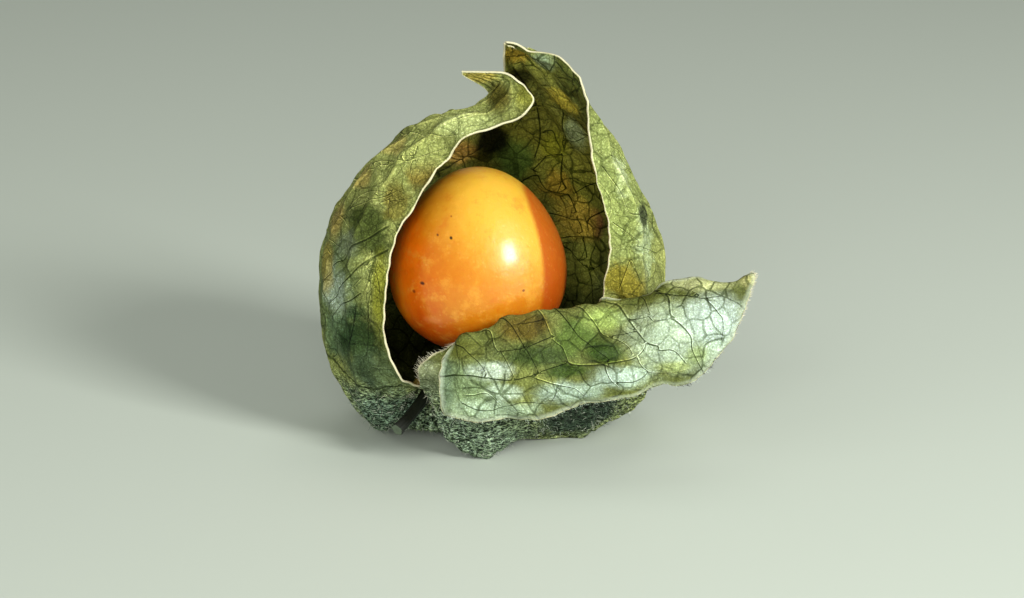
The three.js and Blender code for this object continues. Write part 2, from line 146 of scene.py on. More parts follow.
# The veins that stand out: a relative width, how pale the vein's upper flank is (a painted highlight
# beside the vein's dark core, which is partly painted shadow), and its points by rib and row number.
FRONT_VEINS = [
    (1, 0.1, [(0.05, 5.68), (0.6, 5.44), (1.07, 5.4), (1.51, 5.54), (1.96, 5.67), (2.64, 5.58),
     (3.17, 5.51)]),
    (1.1, 0.9, [(3.17, 5.51), (3.38, 5.58), (3.88, 5.63), (4.45, 5.67), (4.92, 5.58), (5.2, 5.5)]),
    (1.1, 1, [(3.62, 4.02), (3.5, 4.4), (3.24, 4.95), (3.3, 5.18), (3.2, 5.5)]),
    (1.1, 0.8, [(5.22, 4.02), (5, 4.59), (4.7, 4.98), (4.77, 5.12), (4.82, 5.31), (4.66, 5.54)]),
    (1.3, 0.4, [(6.95, 4.3), (6.64, 4.6), (6.23, 4.78), (5.89, 4.96), (5.52, 5.23), (5.23, 5.51),
     (5.24, 5.68), (5.14, 5.76), (5.25, 5.92), (5.1, 6.22)]),
    (0.7, 0.3, [(7.34, 4.96), (6.49, 5.17), (6.18, 5.27), (5.92, 5.37), (6.17, 5.61)]),
    (1.3, 0.4, [(7.2, 5.3), (6.86, 5.44), (6.5, 5.5), (6.2, 5.57), (6.02, 5.73), (5.81, 5.93),
     (5.64, 6.08), (5.39, 6.24), (5.17, 6.5), (4.98, 6.84)]),
    (0.9, 0.3, [(6.9, 5.85), (6.68, 6.02), (6.44, 6.2), (6.23, 6.36), (6.07, 6.5), (5.66, 6.74)]),
    (0.8, 0.2, [(7, 5.3), (6.94, 5.5), (6.89, 5.69), (6.72, 5.94), (6.68, 6.22)]),
    (0.7, 0.7, [(4.66, 5.64), (4.5, 5.81), (4.43, 6), (4.45, 6.24), (4.8, 6.43)]),
    (0.9, 0.6, [(3.87, 5.65), (3.76, 5.82), (3.69, 6.03), (3.68, 6.22)]),
    (1, 0.7, [(0.85, 4.05), (1.31, 4.16), (1.7, 4.4), (1.75, 4.88), (1.87, 5.11), (1.96, 5.6)]),
    (0.8, 0.2, [(0.6, 4.6), (0.88, 4.7), (1.19, 4.98), (1.35, 5.21), (1.48, 5.5)]),
    (0.8, 0.8, [(1, 5.9), (1.12, 5.88), (1.34, 5.84), (1.45, 5.98), (1.52, 6.3)]),
    (0.9, 0.7, [(2.3, 5.64), (2.65, 5.87), (2.86, 6), (2.99, 6.14), (3, 6.43)]),
    (0.7, 0.5, [(2.72, 5.94), (2.61, 6.17), (2.42, 6.48)]),
    (0.7, 0, [(3.26, 4.9), (2.7, 5.05), (2.35, 5.08), (1.8, 5)]),
    (0.6, 0, [(3.45, 4.5), (3, 4.55), (2.5, 4.5)]),
    (0.7, 0, [(2.2, 4.05), (2.4, 4.5), (2.45, 5.05), (2.5, 5.6)]),
    (0.7, 0, [(4.3, 4.05), (4.15, 4.5), (4, 5), (4.05, 5.6)]),
    (0.6, 0, [(4.72, 5), (5.1, 5.1), (5.5, 5.2)]),
    (0.6, 0, [(5.9, 5), (6.1, 5.25)]),
    (0.6, 0, [(0.8, 6.3), (1.3, 6.5), (1.9, 6.3), (2.5, 6.6)]),
    (0.6, 0, [(3.7, 6.1), (4.1, 6.3), (4.4, 6.1)]),
]
WALL_VEINS = [
    (1.7, 0, [(4.6, 7.9), (4.39, 7.5), (4.25, 7.21), (4.21, 6.9), (4.25, 6.44), (4.27, 5.92),
     (4.38, 5.55)]),
    (1.5, 0, [(3.2, 7.1), (3.58, 6.48), (3.72, 6.03), (3.88, 5.68), (4.05, 5.2), (3.95, 4.9), (3.9, 4.7),
     (3.84, 4.38), (3.81, 4.1), (3.75, 3.81), (3.69, 3.5), (3.69, 2.6)]),
    (0.9, 0, [(4.26, 6.02), (4.06, 6.01), (4.01, 5.82), (3.93, 5.6)]),
    (0.9, 0, [(4.45, 5.3), (4.31, 5.44), (4.23, 5.52), (4.07, 5.57), (3.94, 5.57)]),
    (1.1, 0, [(4.6, 5.1), (4.38, 5.23), (4.31, 5.08), (4.23, 4.98), (3.96, 4.89)]),
    (0.9, 0, [(3.3, 5.35), (3.64, 5.15), (3.77, 5.05), (3.93, 4.9)]),
    (0.8, 0, [(3.81, 5.88), (3.5, 6), (3.1, 6.25)]),
    (0.8, 0, [(4.2, 4.55), (4.06, 4.52), (3.99, 4.49), (3.88, 4.5)]),
    (0.8, 0, [(4.2, 4.15), (4, 4.19), (3.81, 4.25)]),
    (1.1, 0, [(4.3, 4.1), (4.06, 4.03), (3.94, 3.94), (3.75, 3.78)]),
    (1, 0, [(3.5, 4.75), (3.72, 4.55), (3.75, 4.34), (3.81, 4.12)]),
    (0.8, 0, [(3.2, 4.2), (3.45, 4), (3.7, 3.8)]),
    (0.8, 0, [(3.4, 6.75), (3, 6.7), (2.5, 6.8)]),
    (0.8, 0, [(4.25, 6.7), (4.5, 6.5), (4.7, 6.1)]),
    (0.6, 0.5, [(0.45, 4.1), (0.56, 4.34), (0.65, 4.51), (0.77, 4.45), (0.84, 4.27), (1.01, 4.03)]),
    (0.7, 0.4, [(0.93, 5.25), (1.53, 5.15), (1.91, 5.06)]),
    (0.6, 0.6, [(1.1, 6.2), (1.66, 6.05), (1.95, 5.8)]),
    (0.6, 0.5, [(0.9, 4.75), (1.36, 4.67), (1.75, 4.57)]),
    (0.8, 0.7, [(1.5, 6.5), (1.81, 6.33), (1.95, 6.08), (2.03, 5.84), (2.06, 5.42)]),
    (0.7, 0.7, [(0.49, 5.93), (0.65, 5.78), (0.75, 5.6), (0.77, 5.38)]),
    (0.7, 0.6, [(0.27, 5.1), (0.56, 5), (0.87, 4.87)]),
    (1.6, 0.2, [(1.46, 5.38), (1.63, 5.24), (1.82, 5.08), (1.87, 4.94)]),
]
LEFT_VEINS = [
    (1.4, 0.2, [(4.8, 4.7), (4.59, 4.6), (4.38, 4.49), (4.17, 4.34), (3.99, 4.19), (3.65, 4.01),
     (3.2, 3.8)]),
    (1.2, 0.4, [(4.6, 5.1), (4.38, 4.94), (4.11, 4.8), (3.86, 4.64), (3.73, 4.49), (3.56, 4.44),
     (3.17, 4.25), (2.9, 4.05)]),
    (0.9, 0.3, [(4.3, 3.95), (4.04, 3.87), (3.65, 3.81), (3.3, 3.6)]),
    (0.8, 0.7, [(2.9, 6), (3.5, 6.19), (4.13, 6.25), (4.28, 6.37), (4.66, 6.76)]),
    (0.8, 0.8, [(2.11, 6.68), (3.46, 6.83), (4.24, 6.95), (4.8, 7.1)]),
    (0.8, 0.9, [(3.3, 5.25), (3.7, 5.44), (4.04, 5.52), (4.4, 5.75)]),
    (0.8, 0.3, [(4.51, 4.49), (4.72, 4.16), (4.86, 3.81), (4.94, 3.44), (4.75, 3.05)]),
    (0.7, 0.2, [(4.6, 4.5), (4.5, 4.1), (4.55, 3.6), (4.4, 3.1)]),
    (0.8, 0.2, [(4.19, 3.69), (4.08, 3.48), (3.91, 3.2)]),
    # Painted shadow: a wide dark line where the left lobe overhangs the base.
    (2, 0, [(2.5, 3.3), (2.92, 3.18), (3.2, 3.06), (3.44, 2.94), (3.84, 2.81), (4.12, 2.65), (4.31, 2.52),
     (4.69, 2.25), (4.84, 1.87)]),
    (0.8, 0.9, [(3.31, 5.33), (3.36, 5.5), (3.47, 5.61), (4.01, 5.65), (4.2, 5.72)]),
    (0.7, 0.2, [(4.2, 5.72), (4.32, 5.57), (4.5, 5.38)]),
    (0.8, 0.8, [(2.03, 5.62), (2.71, 5.81), (3.01, 5.93), (3.43, 6.06), (3.74, 6.21), (4.18, 6.38)]),
    (0.9, 1, [(3.1, 5.12), (3.52, 5.04)]),
    (0.9, 1, [(2.93, 4.76), (3.3, 4.7)]),
    (0.9, 1, [(3.05, 4.55), (3.31, 4.46)]),
    (0.6, 0.6, [(4.51, 4.6), (4.63, 4.38), (4.75, 4.12), (4.86, 3.83)]),
    (0.6, 0.5, [(4.4, 4.48), (4.55, 4.18), (4.65, 3.82), (4.64, 3.55)]),
    (0.7, 0.7, [(2.94, 6.3), (2.5, 6.6), (2.4, 6.9)]),
    (0.7, 0.7, [(3.39, 3.41), (3.69, 3.3), (3.75, 3.16)]),
    (0.6, 0.2, [(3, 3.95), (3.3, 3.7), (3.4, 3.4), (3.3, 3.2)]),
    (0.7, 0.7, [(4.13, 6.49), (4.27, 6.33), (4.34, 6.18), (4.49, 6.05)]),
    (0.7, 0.6, [(4.2, 5.5), (4.41, 5.56), (4.75, 5.66)]),
]
VEINS = [FRONT_VEINS, WALL_VEINS, LEFT_VEINS]

# Going round, each part of the sheet is joined to the next one up to this control row.
PARTS = [(FRONT_LOBE, 3), (RIGHT_WALL, 6), (LEFT_LOBE, 1)]
FINE_STEPS = 16

# Forms of the leaf, in mm
EDGE_REACH = 9.0          # edge distances are counted up to this
VEIN_REACH = 2.0          # and vein distances up to this
RUFFLE_LENGTH = 3.4
WRINKLE_LENGTH = 4.6
JAG_LENGTH = 1.5
KEEL_WIDTH = 0.55
SIDE_VEIN_SPACING = 4.6
SIDE_VEIN_SLANT = 0.95
VEIN_HALF_WIDTH = 0.085   # of a vein of width 1
BERRY_UNEVENNESS = 0.06

# Hairs, in mm
HAIR_CLEARANCE = 0.1      # hair tips stay this far above the floor
HAIR_TOP = 38.5           # no edge hairs grow above this
FRAY_LENGTHS = (0.3, 0.8)
FRINGE_LENGTHS = (0.25, 0.48)
FRINGE_COUNT = 5          # at each point of the edge
FELT_LENGTHS = (0.3, 0.8)
FELT_HEIGHTS = (0.5, 7.0)

# Rows of the sheet
ARCH_ROWS = (1, 2)        # the underside arches up between these
RUN_ROW = 4               # lengths along a rib count from here
CUFF_ROW = 5.5            # the crease of the turned-down lobe
TURNED_ROW = 3.4          # the front lobe turns its inner face out from here
FRAY_ROW = 4.2            # the front left tear is frayed up to here
FRINGE_ROW = 6.9          # the front lobe's lower edge has its fringe from here
FELT_ROWS = (0.7, 3.6)

# What the leaf's shader reads from the mesh for its veins, with the values where nothing is stored
VEIN_VALUES = {
    "Side vein": 0.0, "Rib distance": 1.0, "Plain ribs": 1.0, "Vein side": VEIN_REACH,
    "Vein near": VEIN_REACH, "Vein width": 1.0, "Vein paleness": 0.0,
}

# Soft patches of colour: centre and size in mm, screen colour, strength and raggedness. Most are the leaf's
# own colour; those marked are painted light, shade or sheen.
OUTSIDE_SPOTS = [
    ((-14.6, -3, 17), (5.2, 8, 9), (92, 106, 70), 0.9, 0.3),
    ((-14.5, -4.5, 17.3), (2.4, 4, 3.8), (164, 176, 158), 0.75, 0.4),
    ((-14.5, -5.9, 12.6), (2.4, 5, 3.2), (92, 110, 82), 0.8, 0.4),
    ((-12.3, -7.8, 12.4), (3, 4, 4.4), (46, 66, 36), 0.9, 0.5),
    # Painted shade: dark olive in the middle of the left lobe.
    ((-11.4, -6, 24), (3, 4, 3), (66, 76, 34), 0.9, 0.6),
    ((-13.6, -5, 22.4), (1.8, 3, 2), (120, 128, 104), 0.6, 0.6),
    ((-10.1, -8.5, 18), (1.2, 3, 5.5), (118, 120, 44), 0.85, 0.3),
    ((-15.8, -2.7, 19.4), (1.3, 3, 3.4), (146, 134, 70), 0.7, 0.4),
    ((-5.8, -5.4, 29.8), (2.3, 3, 1.8), (124, 108, 48), 0.75, 0.6),
    ((-8.3, -5.6, 27.2), (1.7, 3, 2.5), (112, 104, 46), 0.7, 0.6),
    ((-7, -3, 32), (4.4, 5, 2.6), (150, 156, 98), 0.7, 0.35),
    ((-1.6, -3, 34.8), (4.4, 4, 1.6), (168, 176, 122), 0.8, 0.3),
    ((5, -3, 37.9), (1.6, 3, 2.2), (150, 150, 70), 0.7, 0.4),
    ((2.2, -1.4, 37.2), (1.9, 3, 1.7), (84, 78, 26), 0.85, 0.35),
    ((0.3, -1.1, 39.6), (2.2, 3, 1.2), (150, 138, 70), 0.75, 0.35),
    ((14.5, -2, 27), (6, 7, 13), (144, 154, 98), 0.85, 0.2),
    ((15.2, -1.4, 29.5), (1.3, 3, 3), (182, 192, 152), 0.7, 0.8),
    ((17.6, -3.6, 22), (1.4, 4, 4.2), (160, 172, 136), 0.75, 0.8),
    ((14.9, -6, 18.6), (3.2, 3, 2.6), (130, 120, 42), 0.8, 0.6),
    ((17.4, -2.2, 24.4), (0.7, 3, 1.5), (48, 54, 24), 0.8, 0.9),
    ((-1, -9, 2), (9, 9, 7), (118, 130, 104), 0.9, 0.2),
    # Painted shade: dark grey green under the turned-down lobe, near the floor.
    ((11, -6, 4), (8, 6, 6), (36, 50, 38), 0.92, 0.25),
    ((-11, -7.8, 9.6), (5, 4, 3), (76, 90, 64), 0.9, 0.3),
    ((-10, -6, 3.4), (6.6, 6, 5.4), (92, 106, 86), 0.92, 0.25),
    ((-15, -1.4, 24.4), (1.3, 4, 3.4), (156, 134, 78), 0.5, 0.3),
    ((-12.4, -0.6, 28.6), (2, 4, 1.4), (156, 136, 80), 0.5, 0.3),
    ((-8.4, -0.6, 31.8), (2.8, 3, 1), (160, 144, 86), 0.5, 0.3),
    ((-5.2, -9.2, 9), (2.6, 3, 3.6), (124, 132, 104), 0.85, 0.35),
    ((-5.4, -9, 10.4), (1.6, 3, 1.6), (168, 174, 140), 0.8, 0.4),
]
INSIDE_SPOTS = [
    ((-1.5, -13.4, 10), (5, 4, 5.5), (126, 142, 108), 0.85, 0.3),
    ((-1.2, -12.7, 13.2), (3, 3, 1.7), (104, 108, 48), 0.85, 0.35),
    ((-3.3, -13.3, 9.6), (1.4, 3, 3.4), (98, 114, 92), 0.7, 0.4),
    # Pale silvery green of the turned-down lobe: partly its own colour, partly painted sheen.
    ((1.5, -14.2, 11.6), (3, 3, 1.1), (180, 192, 174), 0.8, 0.5),
    ((3, -14.9, 9.4), (2.6, 3, 1.2), (174, 188, 166), 0.8, 0.5),
    ((2, -14.4, 7.6), (5.4, 3, 1.4), (166, 182, 156), 0.85, 0.3),
    ((4.8, -11.6, 15.5), (3.6, 3, 1.8), (100, 88, 36), 0.9, 0.3),
    ((6.6, -13.4, 13), (4.6, 3, 1.5), (72, 88, 46), 0.9, 0.3),
    ((10.2, -12.2, 14.6), (3, 3, 2.2), (92, 110, 56), 0.85, 0.35),
    ((9, -14.4, 11.8), (3, 3, 1), (58, 80, 26), 0.85, 0.35),
    ((13.4, -13.2, 13.4), (2.4, 3, 1.3), (62, 84, 30), 0.85, 0.35),
    # Pale silvery green of the turned-down lobe: partly its own colour, partly painted sheen.
    ((9.5, -15, 9.4), (4.8, 3, 1.6), (162, 178, 160), 0.85, 0.35),
    ((15.2, -14.7, 11), (4.4, 3, 1.5), (170, 186, 170), 0.88, 0.3),
    ((13, -10.8, 16), (2.6, 3, 1.3), (150, 166, 100), 0.85, 0.3),
    # Pale silvery green of the turned-down lobe: partly its own colour, partly painted sheen.
    ((22, -12.4, 14.6), (8.6, 4.6, 4.6), (168, 182, 160), 0.9, 0.25),
    ((24.6, -11, 16), (4.6, 3.6, 3.4), (168, 181, 168), 0.9, 0.3),
    ((22.6, -12.8, 12.8), (1.7, 3, 1.5), (138, 152, 96), 0.7, 0.4),
    ((20.2, -13.7, 11.8), (2.2, 3, 0.8), (152, 162, 104), 0.7, 0.4),
    ((23, -8.4, 19.4), (5, 2.8, 1), (176, 180, 134), 0.9, 0.2),
    ((28.2, -7.5, 19.3), (1.3, 2, 1.2), (168, 166, 118), 0.7, 0.2),
    ((5, 10, 24), (13, 8, 16), (128, 126, 56), 0.9, 0.2),
    # Painted shade: near black deep in the hollow under the berry.
    ((-3, 3, 6), (14, 14, 10), (14, 16, 8), 0.97, 0.2),
    ((-6.6, -7.8, 7.8), (2.6, 2.4, 1.3), (170, 150, 84), 0.9, 0.2),
    ((5.5, 5, 38), (4, 5, 4), (150, 152, 80), 0.8, 0.3),
    ((9, 6.6, 34.8), (3.2, 3.2, 1.8), (188, 176, 80), 0.75, 0.5),
    ((6.6, 3.4, 39.6), (1.9, 3, 1.7), (120, 134, 110), 0.8, 0.3),
    ((4, 6.1, 40), (1.9, 3, 1.5), (166, 146, 62), 0.85, 0.3),
    ((4.4, 8.4, 37), (1.7, 3, 1.4), (44, 46, 14), 0.8, 0.35),
    ((10.4, 9.9, 30.4), (1.7, 3, 3), (142, 154, 118), 0.75, 0.35),
    ((3.6, 13.6, 26.2), (2.8, 3, 3.6), (88, 112, 56), 0.8, 0.35),
    ((8.2, 12.8, 28), (1.9, 3, 2.6), (146, 146, 52), 0.8, 0.35),
    ((8.6, 13.6, 23.2), (2.4, 3, 2.2), (152, 128, 52), 0.7, 0.5),
    ((12.8, 11.8, 19.6), (1.3, 3, 2), (104, 66, 52), 0.8, 0.35),
    ((11, 13, 14.4), (3.4, 3, 4.6), (154, 156, 80), 0.85, 0.35),
    ((10.6, 13, 19.6), (3.4, 3, 3.2), (184, 162, 76), 0.85, 0.35),
    # Painted shade: near black on the back wall beside its torn left edge, behind the berry.
    ((1.2, 13.2, 28.8), (2.4, 3, 2.4), (20, 22, 10), 0.9, 0.6),
    ((-2, 12, 27.6), (2, 3, 2), (206, 172, 96), 0.85, 0.3),
    ((-3, 0, 31.5), (4, 6, 2.6), (176, 118, 42), 0.8, 0.35),
]
BERRY_PATCHES = [
    ((-10.5, -2, 15), (10, 13, 13), (212, 84, 0), 0.9, 0.12),
    # Redder and darker towards the bottom: partly the skin's own colour, partly painted shade under the
    # turned-down lobe.
    ((-2, -4, 6.4), (15, 14, 11), (184, 64, 0), 0.85, 0.12),
    # Painted light: brighter orange down the left edge, against the shade of the left lobe.
    ((-9.8, -2, 15), (3.8, 12, 12), (255, 132, 8), 0.95, 0.1),
    ((5, -4, 27), (10.5, 10, 11), (218, 174, 54), 0.9, 0.08),
    # Painted light: brighter orange at the upper left edge, against the shade of the left lobe.
    ((-8.6, -2, 23), (3.6, 8, 6), (255, 116, 0), 0.8, 0.1),
    ((-4.6, -8, 15), (1.1, 3, 0.7), (224, 140, 70), 0.5, 0.4),
]
BERRY_SPECKS = [
    ((-5.7, -7, 18.9), (0.3, 4, 0.22), (60, 16, 6), 0.95, 0.3),
    ((-6.6, -6.5, 17.8), (0.2, 4, 0.24), (120, 44, 8), 0.9, 0.2),
    ((-2.7, -7.7, 23.7), (0.19, 4, 0.19), (30, 14, 6), 0.95, 0.1),
    ((-4.1, -7.2, 23.8), (0.16, 4, 0.14), (96, 34, 10), 0.9, 0.1),
    ((-2.7, -6.6, 25.6), (0.12, 4, 0.12), (130, 60, 12), 0.8, 0.1),
    ((4.8, -8, 18.3), (0.18, 4, 0.17), (110, 44, 12), 0.85, 0.1),
]


def control_grid(index):
    """One part's control points with a border all round, shared with a neighbour below a tear."""
    ribs = np.array(PARTS[index][0], float)
    joined = PARTS[index][1]
    before, joined_before = PARTS[(index + 2) % 3]
    after = PARTS[(index + 1) % 3][0]
    first = 2 * ribs[0] - ribs[1]
    last = 2 * ribs[-1] - ribs[-2]
    first[:joined_before + 1] = np.array(before[-2][:joined_before + 1], float)
    last[:joined + 1] = np.array(after[1][:joined + 1], float)
    grid = np.concatenate([first[None], ribs, last[None]])
    low = 2 * grid[:, :1] - grid[:, 1:2]
    high = 2 * grid[:, -1:] - grid[:, -2:-1]
    return np.concatenate([low, grid, high], axis=1)


def cubic_weights(t):
    """How much four points in a row count, t of the way from the second to the third."""
    return (-0.5 * t ** 3 + t * t - 0.5 * t, 1.5 * t ** 3 - 2.5 * t * t + 1,
            -1.5 * t ** 3 + 2 * t * t + 0.5 * t, 0.5 * t ** 3 - 0.5 * t * t)


def spline_weights(intervals):
    """A row of weights on the bordered control points for each place along the intervals."""
    places = np.arange(intervals * FINE_STEPS + 1) / FINE_STEPS
    table = np.zeros((len(places), intervals + 3))
    for row, place in zip(table, places):
        k = min(int(place), intervals - 1)
        row[k:k + 4] = cubic_weights(place - k)
    return table


def spline_point(path, place):
    """A point on a smooth curve through the path, place running from 0 to 1."""
    path = np.array(path, float)
    full = np.concatenate([[2 * path[0] - path[1]], path, [2 * path[-1] - path[-2]]])
    at = place * (len(path) - 1)
    k = min(int(at), len(path) - 2)
    return sum(weight * full[k + n] for n, weight in enumerate(cubic_weights(at - k)))


def crumple(p):
    """The gentle crumple of the whole sheet at each point."""
    x, y, z = p.T
    return (np.sin(0.85 * x + 0.6 * z + 1.3) * np.cos(0.7 * y - 0.5 * z)
            + 0.6 * np.sin(1.5 * x - 1.1 * y + 0.9 * z))


def smooth_noise(p, scale, seed):
    """A soft random value between about -1 and 1 that changes over about scale mm."""
    rng = np.random.default_rng(seed)
    total = np.zeros(len(p))
    for _ in range(6):
        direction = rng.normal(size=3)
        direction *= (2.0 * math.pi / scale) * rng.uniform(0.6, 1.5) / np.linalg.norm(direction)
        total += np.sin(p @ direction + rng.uniform(0.0, 2.0 * math.pi))
    return total / 3.0


def bell(distance, width, power=2):
    """1 at no distance, falling off over the width."""
    return np.exp(-(distance / width) ** power)


def limited(values):
    """Values kept between 0 and 1."""
    return np.clip(values, 0, 1)


def unit(vectors):
    """Vectors made 1 long."""
    return vectors / np.maximum(np.linalg.norm(vectors, axis=-1, keepdims=True), 1e-9)


def point_normals(points, quads):
    """Unit normals of a sheet of quads, from the faces round each point."""
    across = points[quads[:, 2]] - points[quads[:, 0]]
    along = points[quads[:, 3]] - points[quads[:, 1]]
    faces = np.cross(across, along)
    normals = np.zeros_like(points)
    for k in range(4):
        np.add.at(normals, quads[:, k], faces)
    return unit(normals)


def search_tree(places):
    """A tree that finds the nearest of the places."""
    tree = kdtree.KDTree(len(places))
    for k, place in enumerate(places):
        tree.insert(place, k)
    tree.balance()
    return tree


class Sheet:
    """The husk's middle surface with what each point knows about its place on the leaf."""

    def __init__(self):
        self.points = []
        self.quads = []
        self.maps = []
        self.free = []
        fields = [self.add_part(index) for index in range(3)]
        self.points = np.concatenate(self.points)
        self.quads = np.concatenate(self.quads)
        fields = np.concatenate(fields)
        self.part, self.u, self.v, self.along, self.rib_distance, self.edge, self.tip = fields.T
        self.place_edges()

    def add_part(self, index):
        """Adds one part's points and quads and returns what its new points know."""
        ribs, joined = PARTS[index]
        joined_before = PARTS[(index + 2) % 3][1]
        across = len(ribs) - 1
        up = len(ribs[0]) - 1
        surface = np.einsum("ai,bj,ijk->abk", spline_weights(across), spline_weights(up),
                            control_grid(index))
        u, v = np.meshgrid(*(np.arange(size) / FINE_STEPS for size in surface.shape[:2]), indexing="ij")
        inside = (v > ARCH_ROWS[0]) & (v < ARCH_ROWS[1])
        under = np.where(inside, np.sin(math.pi * (v - ARCH_ROWS[0])), 0.0)
        surface[:, :, 2] += UNDERSIDE_HOLLOW * under * limited((surface[:, :, 1] + 4) / 5)

        steps = np.linalg.norm(np.diff(surface, axis=1), axis=2)
        along = np.concatenate([np.zeros((len(u), 1)), np.cumsum(steps, axis=1)], axis=1)
        along -= along[:, RUN_ROW * FINE_STEPS:RUN_ROW * FINE_STEPS + 1]
        gaps = np.linalg.norm(np.diff(surface, axis=0), axis=2)
        rib_distance = np.abs(u - np.round(u)) * np.concatenate([gaps[:1], gaps]) * FINE_STEPS

        start, end = joined_before * FINE_STEPS, joined * FINE_STEPS
        numbers = np.full(u.shape, -1)
        if index > 0:
            numbers[0, :start + 1] = self.maps[index - 1][-1, :start + 1]
        if index == 2:
            numbers[-1, :end + 1] = self.maps[0][0, :end + 1]
        new = numbers < 0
        numbers[new] = sum(len(block) for block in self.points) + np.arange(new.sum())
        self.maps.append(numbers)
        self.points.append(surface[new])
        corners = (numbers[:-1, :-1], numbers[1:, :-1], numbers[1:, 1:], numbers[:-1, 1:])
        self.quads.append(np.stack([corner.ravel() for corner in corners], axis=1))
        self.free.append(np.concatenate([numbers[0, start:], numbers[-1, end:], numbers[:, -1]]))

        left = limited(1 - u / 1.5) * limited(v - joined_before)
        right = limited(1 - (across - u) / 1.5) * limited(v - joined)
        top = limited(1 - (up - v) / 1.25)
        tip = limited((up - v) / 2) if index == 2 else np.ones_like(v)
        edge = np.maximum(np.maximum(left, right), top)
        return np.stack([np.full(u.shape, float(index)), u, v, along, rib_distance, edge, tip], axis=-1)[new]

    def place_edges(self):
        """How far each point is from the nearest free edge of its own part, in mm."""
        self.edge_distance = np.full(len(self.points), EDGE_REACH)
        for index in range(3):
            tree = search_tree(self.points[self.free[index]])
            for k in np.nonzero(self.part == index)[0]:
                self.edge_distance[k] = min(EDGE_REACH, tree.find(self.points[k])[2])

    def shape(self, settings):
        """Gives the smooth sheet its waves, crumple, crease, folds, wrinkles and jagged edges."""
        v, tip = self.v, self.tip
        away = limited((v - 1) / 1.5)
        p = self.points.copy()
        push = CRUMPLE * crumple(p) * away * tip
        push += EDGE_WAVE * self.edge * tip * np.sin(0.65 * (p[:, 0] + p[:, 2]) + 0.3 * p[:, 1])
        push -= np.where(self.part == 0, CUFF_CREASE * limited(1 - np.abs(v - CUFF_ROW) / 0.6), 0.0)
        near_edge = bell(self.edge_distance, 1.6, 1)
        push += settings.edge_ruffle / MM * near_edge * tip * smooth_noise(p, RUFFLE_LENGTH, 5)
        push += settings.wrinkle / MM * away * tip * smooth_noise(p, WRINKLE_LENGTH, 11)
        keel = bell(self.rib_distance, KEEL_WIDTH)
        self.turned = np.where(self.part == 0, limited(v - TURNED_ROW), 0.0)
        push += settings.keel_height / MM * keel * away * tip * (1 - self.turned)
        pleats = np.sin(6.0 * math.pi * self.u) * limited(2.6 - v) * limited(v)
        push += settings.pleat_height / MM * pleats
        p += point_normals(p, self.quads) * push[:, None]
        jag = np.stack([smooth_noise(p, JAG_LENGTH, seed) for seed in (31, 32, 33)], axis=1)
        p += settings.edge_jag / MM * (bell(self.edge_distance, 0.5, 1) * tip)[:, None] * jag
        self.points = p
        self.normals = point_normals(p, self.quads)
        self.place_veins()

    def point_at(self, index, u, v):
        """The point of one part at a rib and row number, between its mesh points."""
        numbers = self.maps[index]
        a = min(max(u * FINE_STEPS, 0.0), numbers.shape[0] - 1.001)
        b = min(max(v * FINE_STEPS, 0.0), numbers.shape[1] - 1.001)
        i, j = int(a), int(b)
        s, t = a - i, b - j
        low = (1 - s) * self.points[numbers[i, j]] + s * self.points[numbers[i + 1, j]]
        high = (1 - s) * self.points[numbers[i, j + 1]] + s * self.points[numbers[i + 1, j + 1]]
        return (1 - t) * low + t * high

    def place_veins(self):
        """Each point's distance across and to the nearest standing vein, in mm, its width and paleness."""
        places, ways, widths, pales = [], [], [], []
        for index, veins in enumerate(VEINS):
            for width, pale, turns in veins:
                count = 12 * (len(turns) - 1)
                line = np.array([self.point_at(index, *spline_point(turns, k / count))
                                 for k in range(count + 1)])
                places.extend(line)
                ways.extend(unit(np.gradient(line, axis=0)))
                widths.extend(width * (1.0 - 0.55 * np.linspace(0, 1, count + 1)))
                pales.extend([pale] * (count + 1))
        tree = search_tree(places)
        count = len(self.points)
        self.vein_side = np.full(count, VEIN_REACH)
        self.vein_near = np.full(count, VEIN_REACH)
        self.vein_width = np.ones(count)
        self.vein_paleness = np.zeros(count)
        for k in range(count):
            _, nearest, distance = tree.find(self.points[k])
            if distance > VEIN_REACH:
                continue
            offset = self.points[k] - places[nearest]
            self.vein_side[k] = offset @ np.cross(self.normals[k], ways[nearest])
            self.vein_near[k] = distance
            self.vein_width[k] = widths[nearest]
            self.vein_paleness[k] = pales[nearest]


def side_vein_phase(sheet):
    """Whole numbers of this value are the side veins, which leave the ribs slanting upwards."""
    wander = 0.35 * smooth_noise(sheet.points, 9.0, 21) + 0.12 * smooth_noise(sheet.points, 3.5, 22)
    return (sheet.along - SIDE_VEIN_SLANT * sheet.rib_distance) / SIDE_VEIN_SPACING + wander


def rim_edges(quads):
    """The directed edges that only one quad has."""
    edges = np.concatenate([quads[:, [k, (k + 1) % 4]] for k in range(4)])
    keys = edges[:, 0].astype(np.int64) << 32 | edges[:, 1]
    back = edges[:, 1].astype(np.int64) << 32 | edges[:, 0]
    return edges[~np.isin(keys, back)]


def show(name, data):
    """A new object in the scene."""
    made = bpy.data.objects.new(name, data)
    bpy.context.scene.collection.objects.link(made)
    return made


def mesh_object(name, points, faces):
    """A smooth mesh object at the origin from points in mm and faces."""
    mesh = bpy.data.meshes.new(name)
    mesh.from_pydata(((points + PLACE) * MM).tolist(), [], [list(face) for face in faces])
    mesh.update()
    mesh.shade_smooth()
    return show(name, mesh)


def give_attribute(mesh, name, values, kind="FLOAT"):
    """Stores one value for each point of the mesh."""
    attribute = mesh.attributes.new(name, kind, "POINT")
    key = "vector" if kind == "FLOAT_VECTOR" else "value"
    attribute.data.foreach_set(key, np.ascontiguousarray(values, dtype=np.float32).ravel())


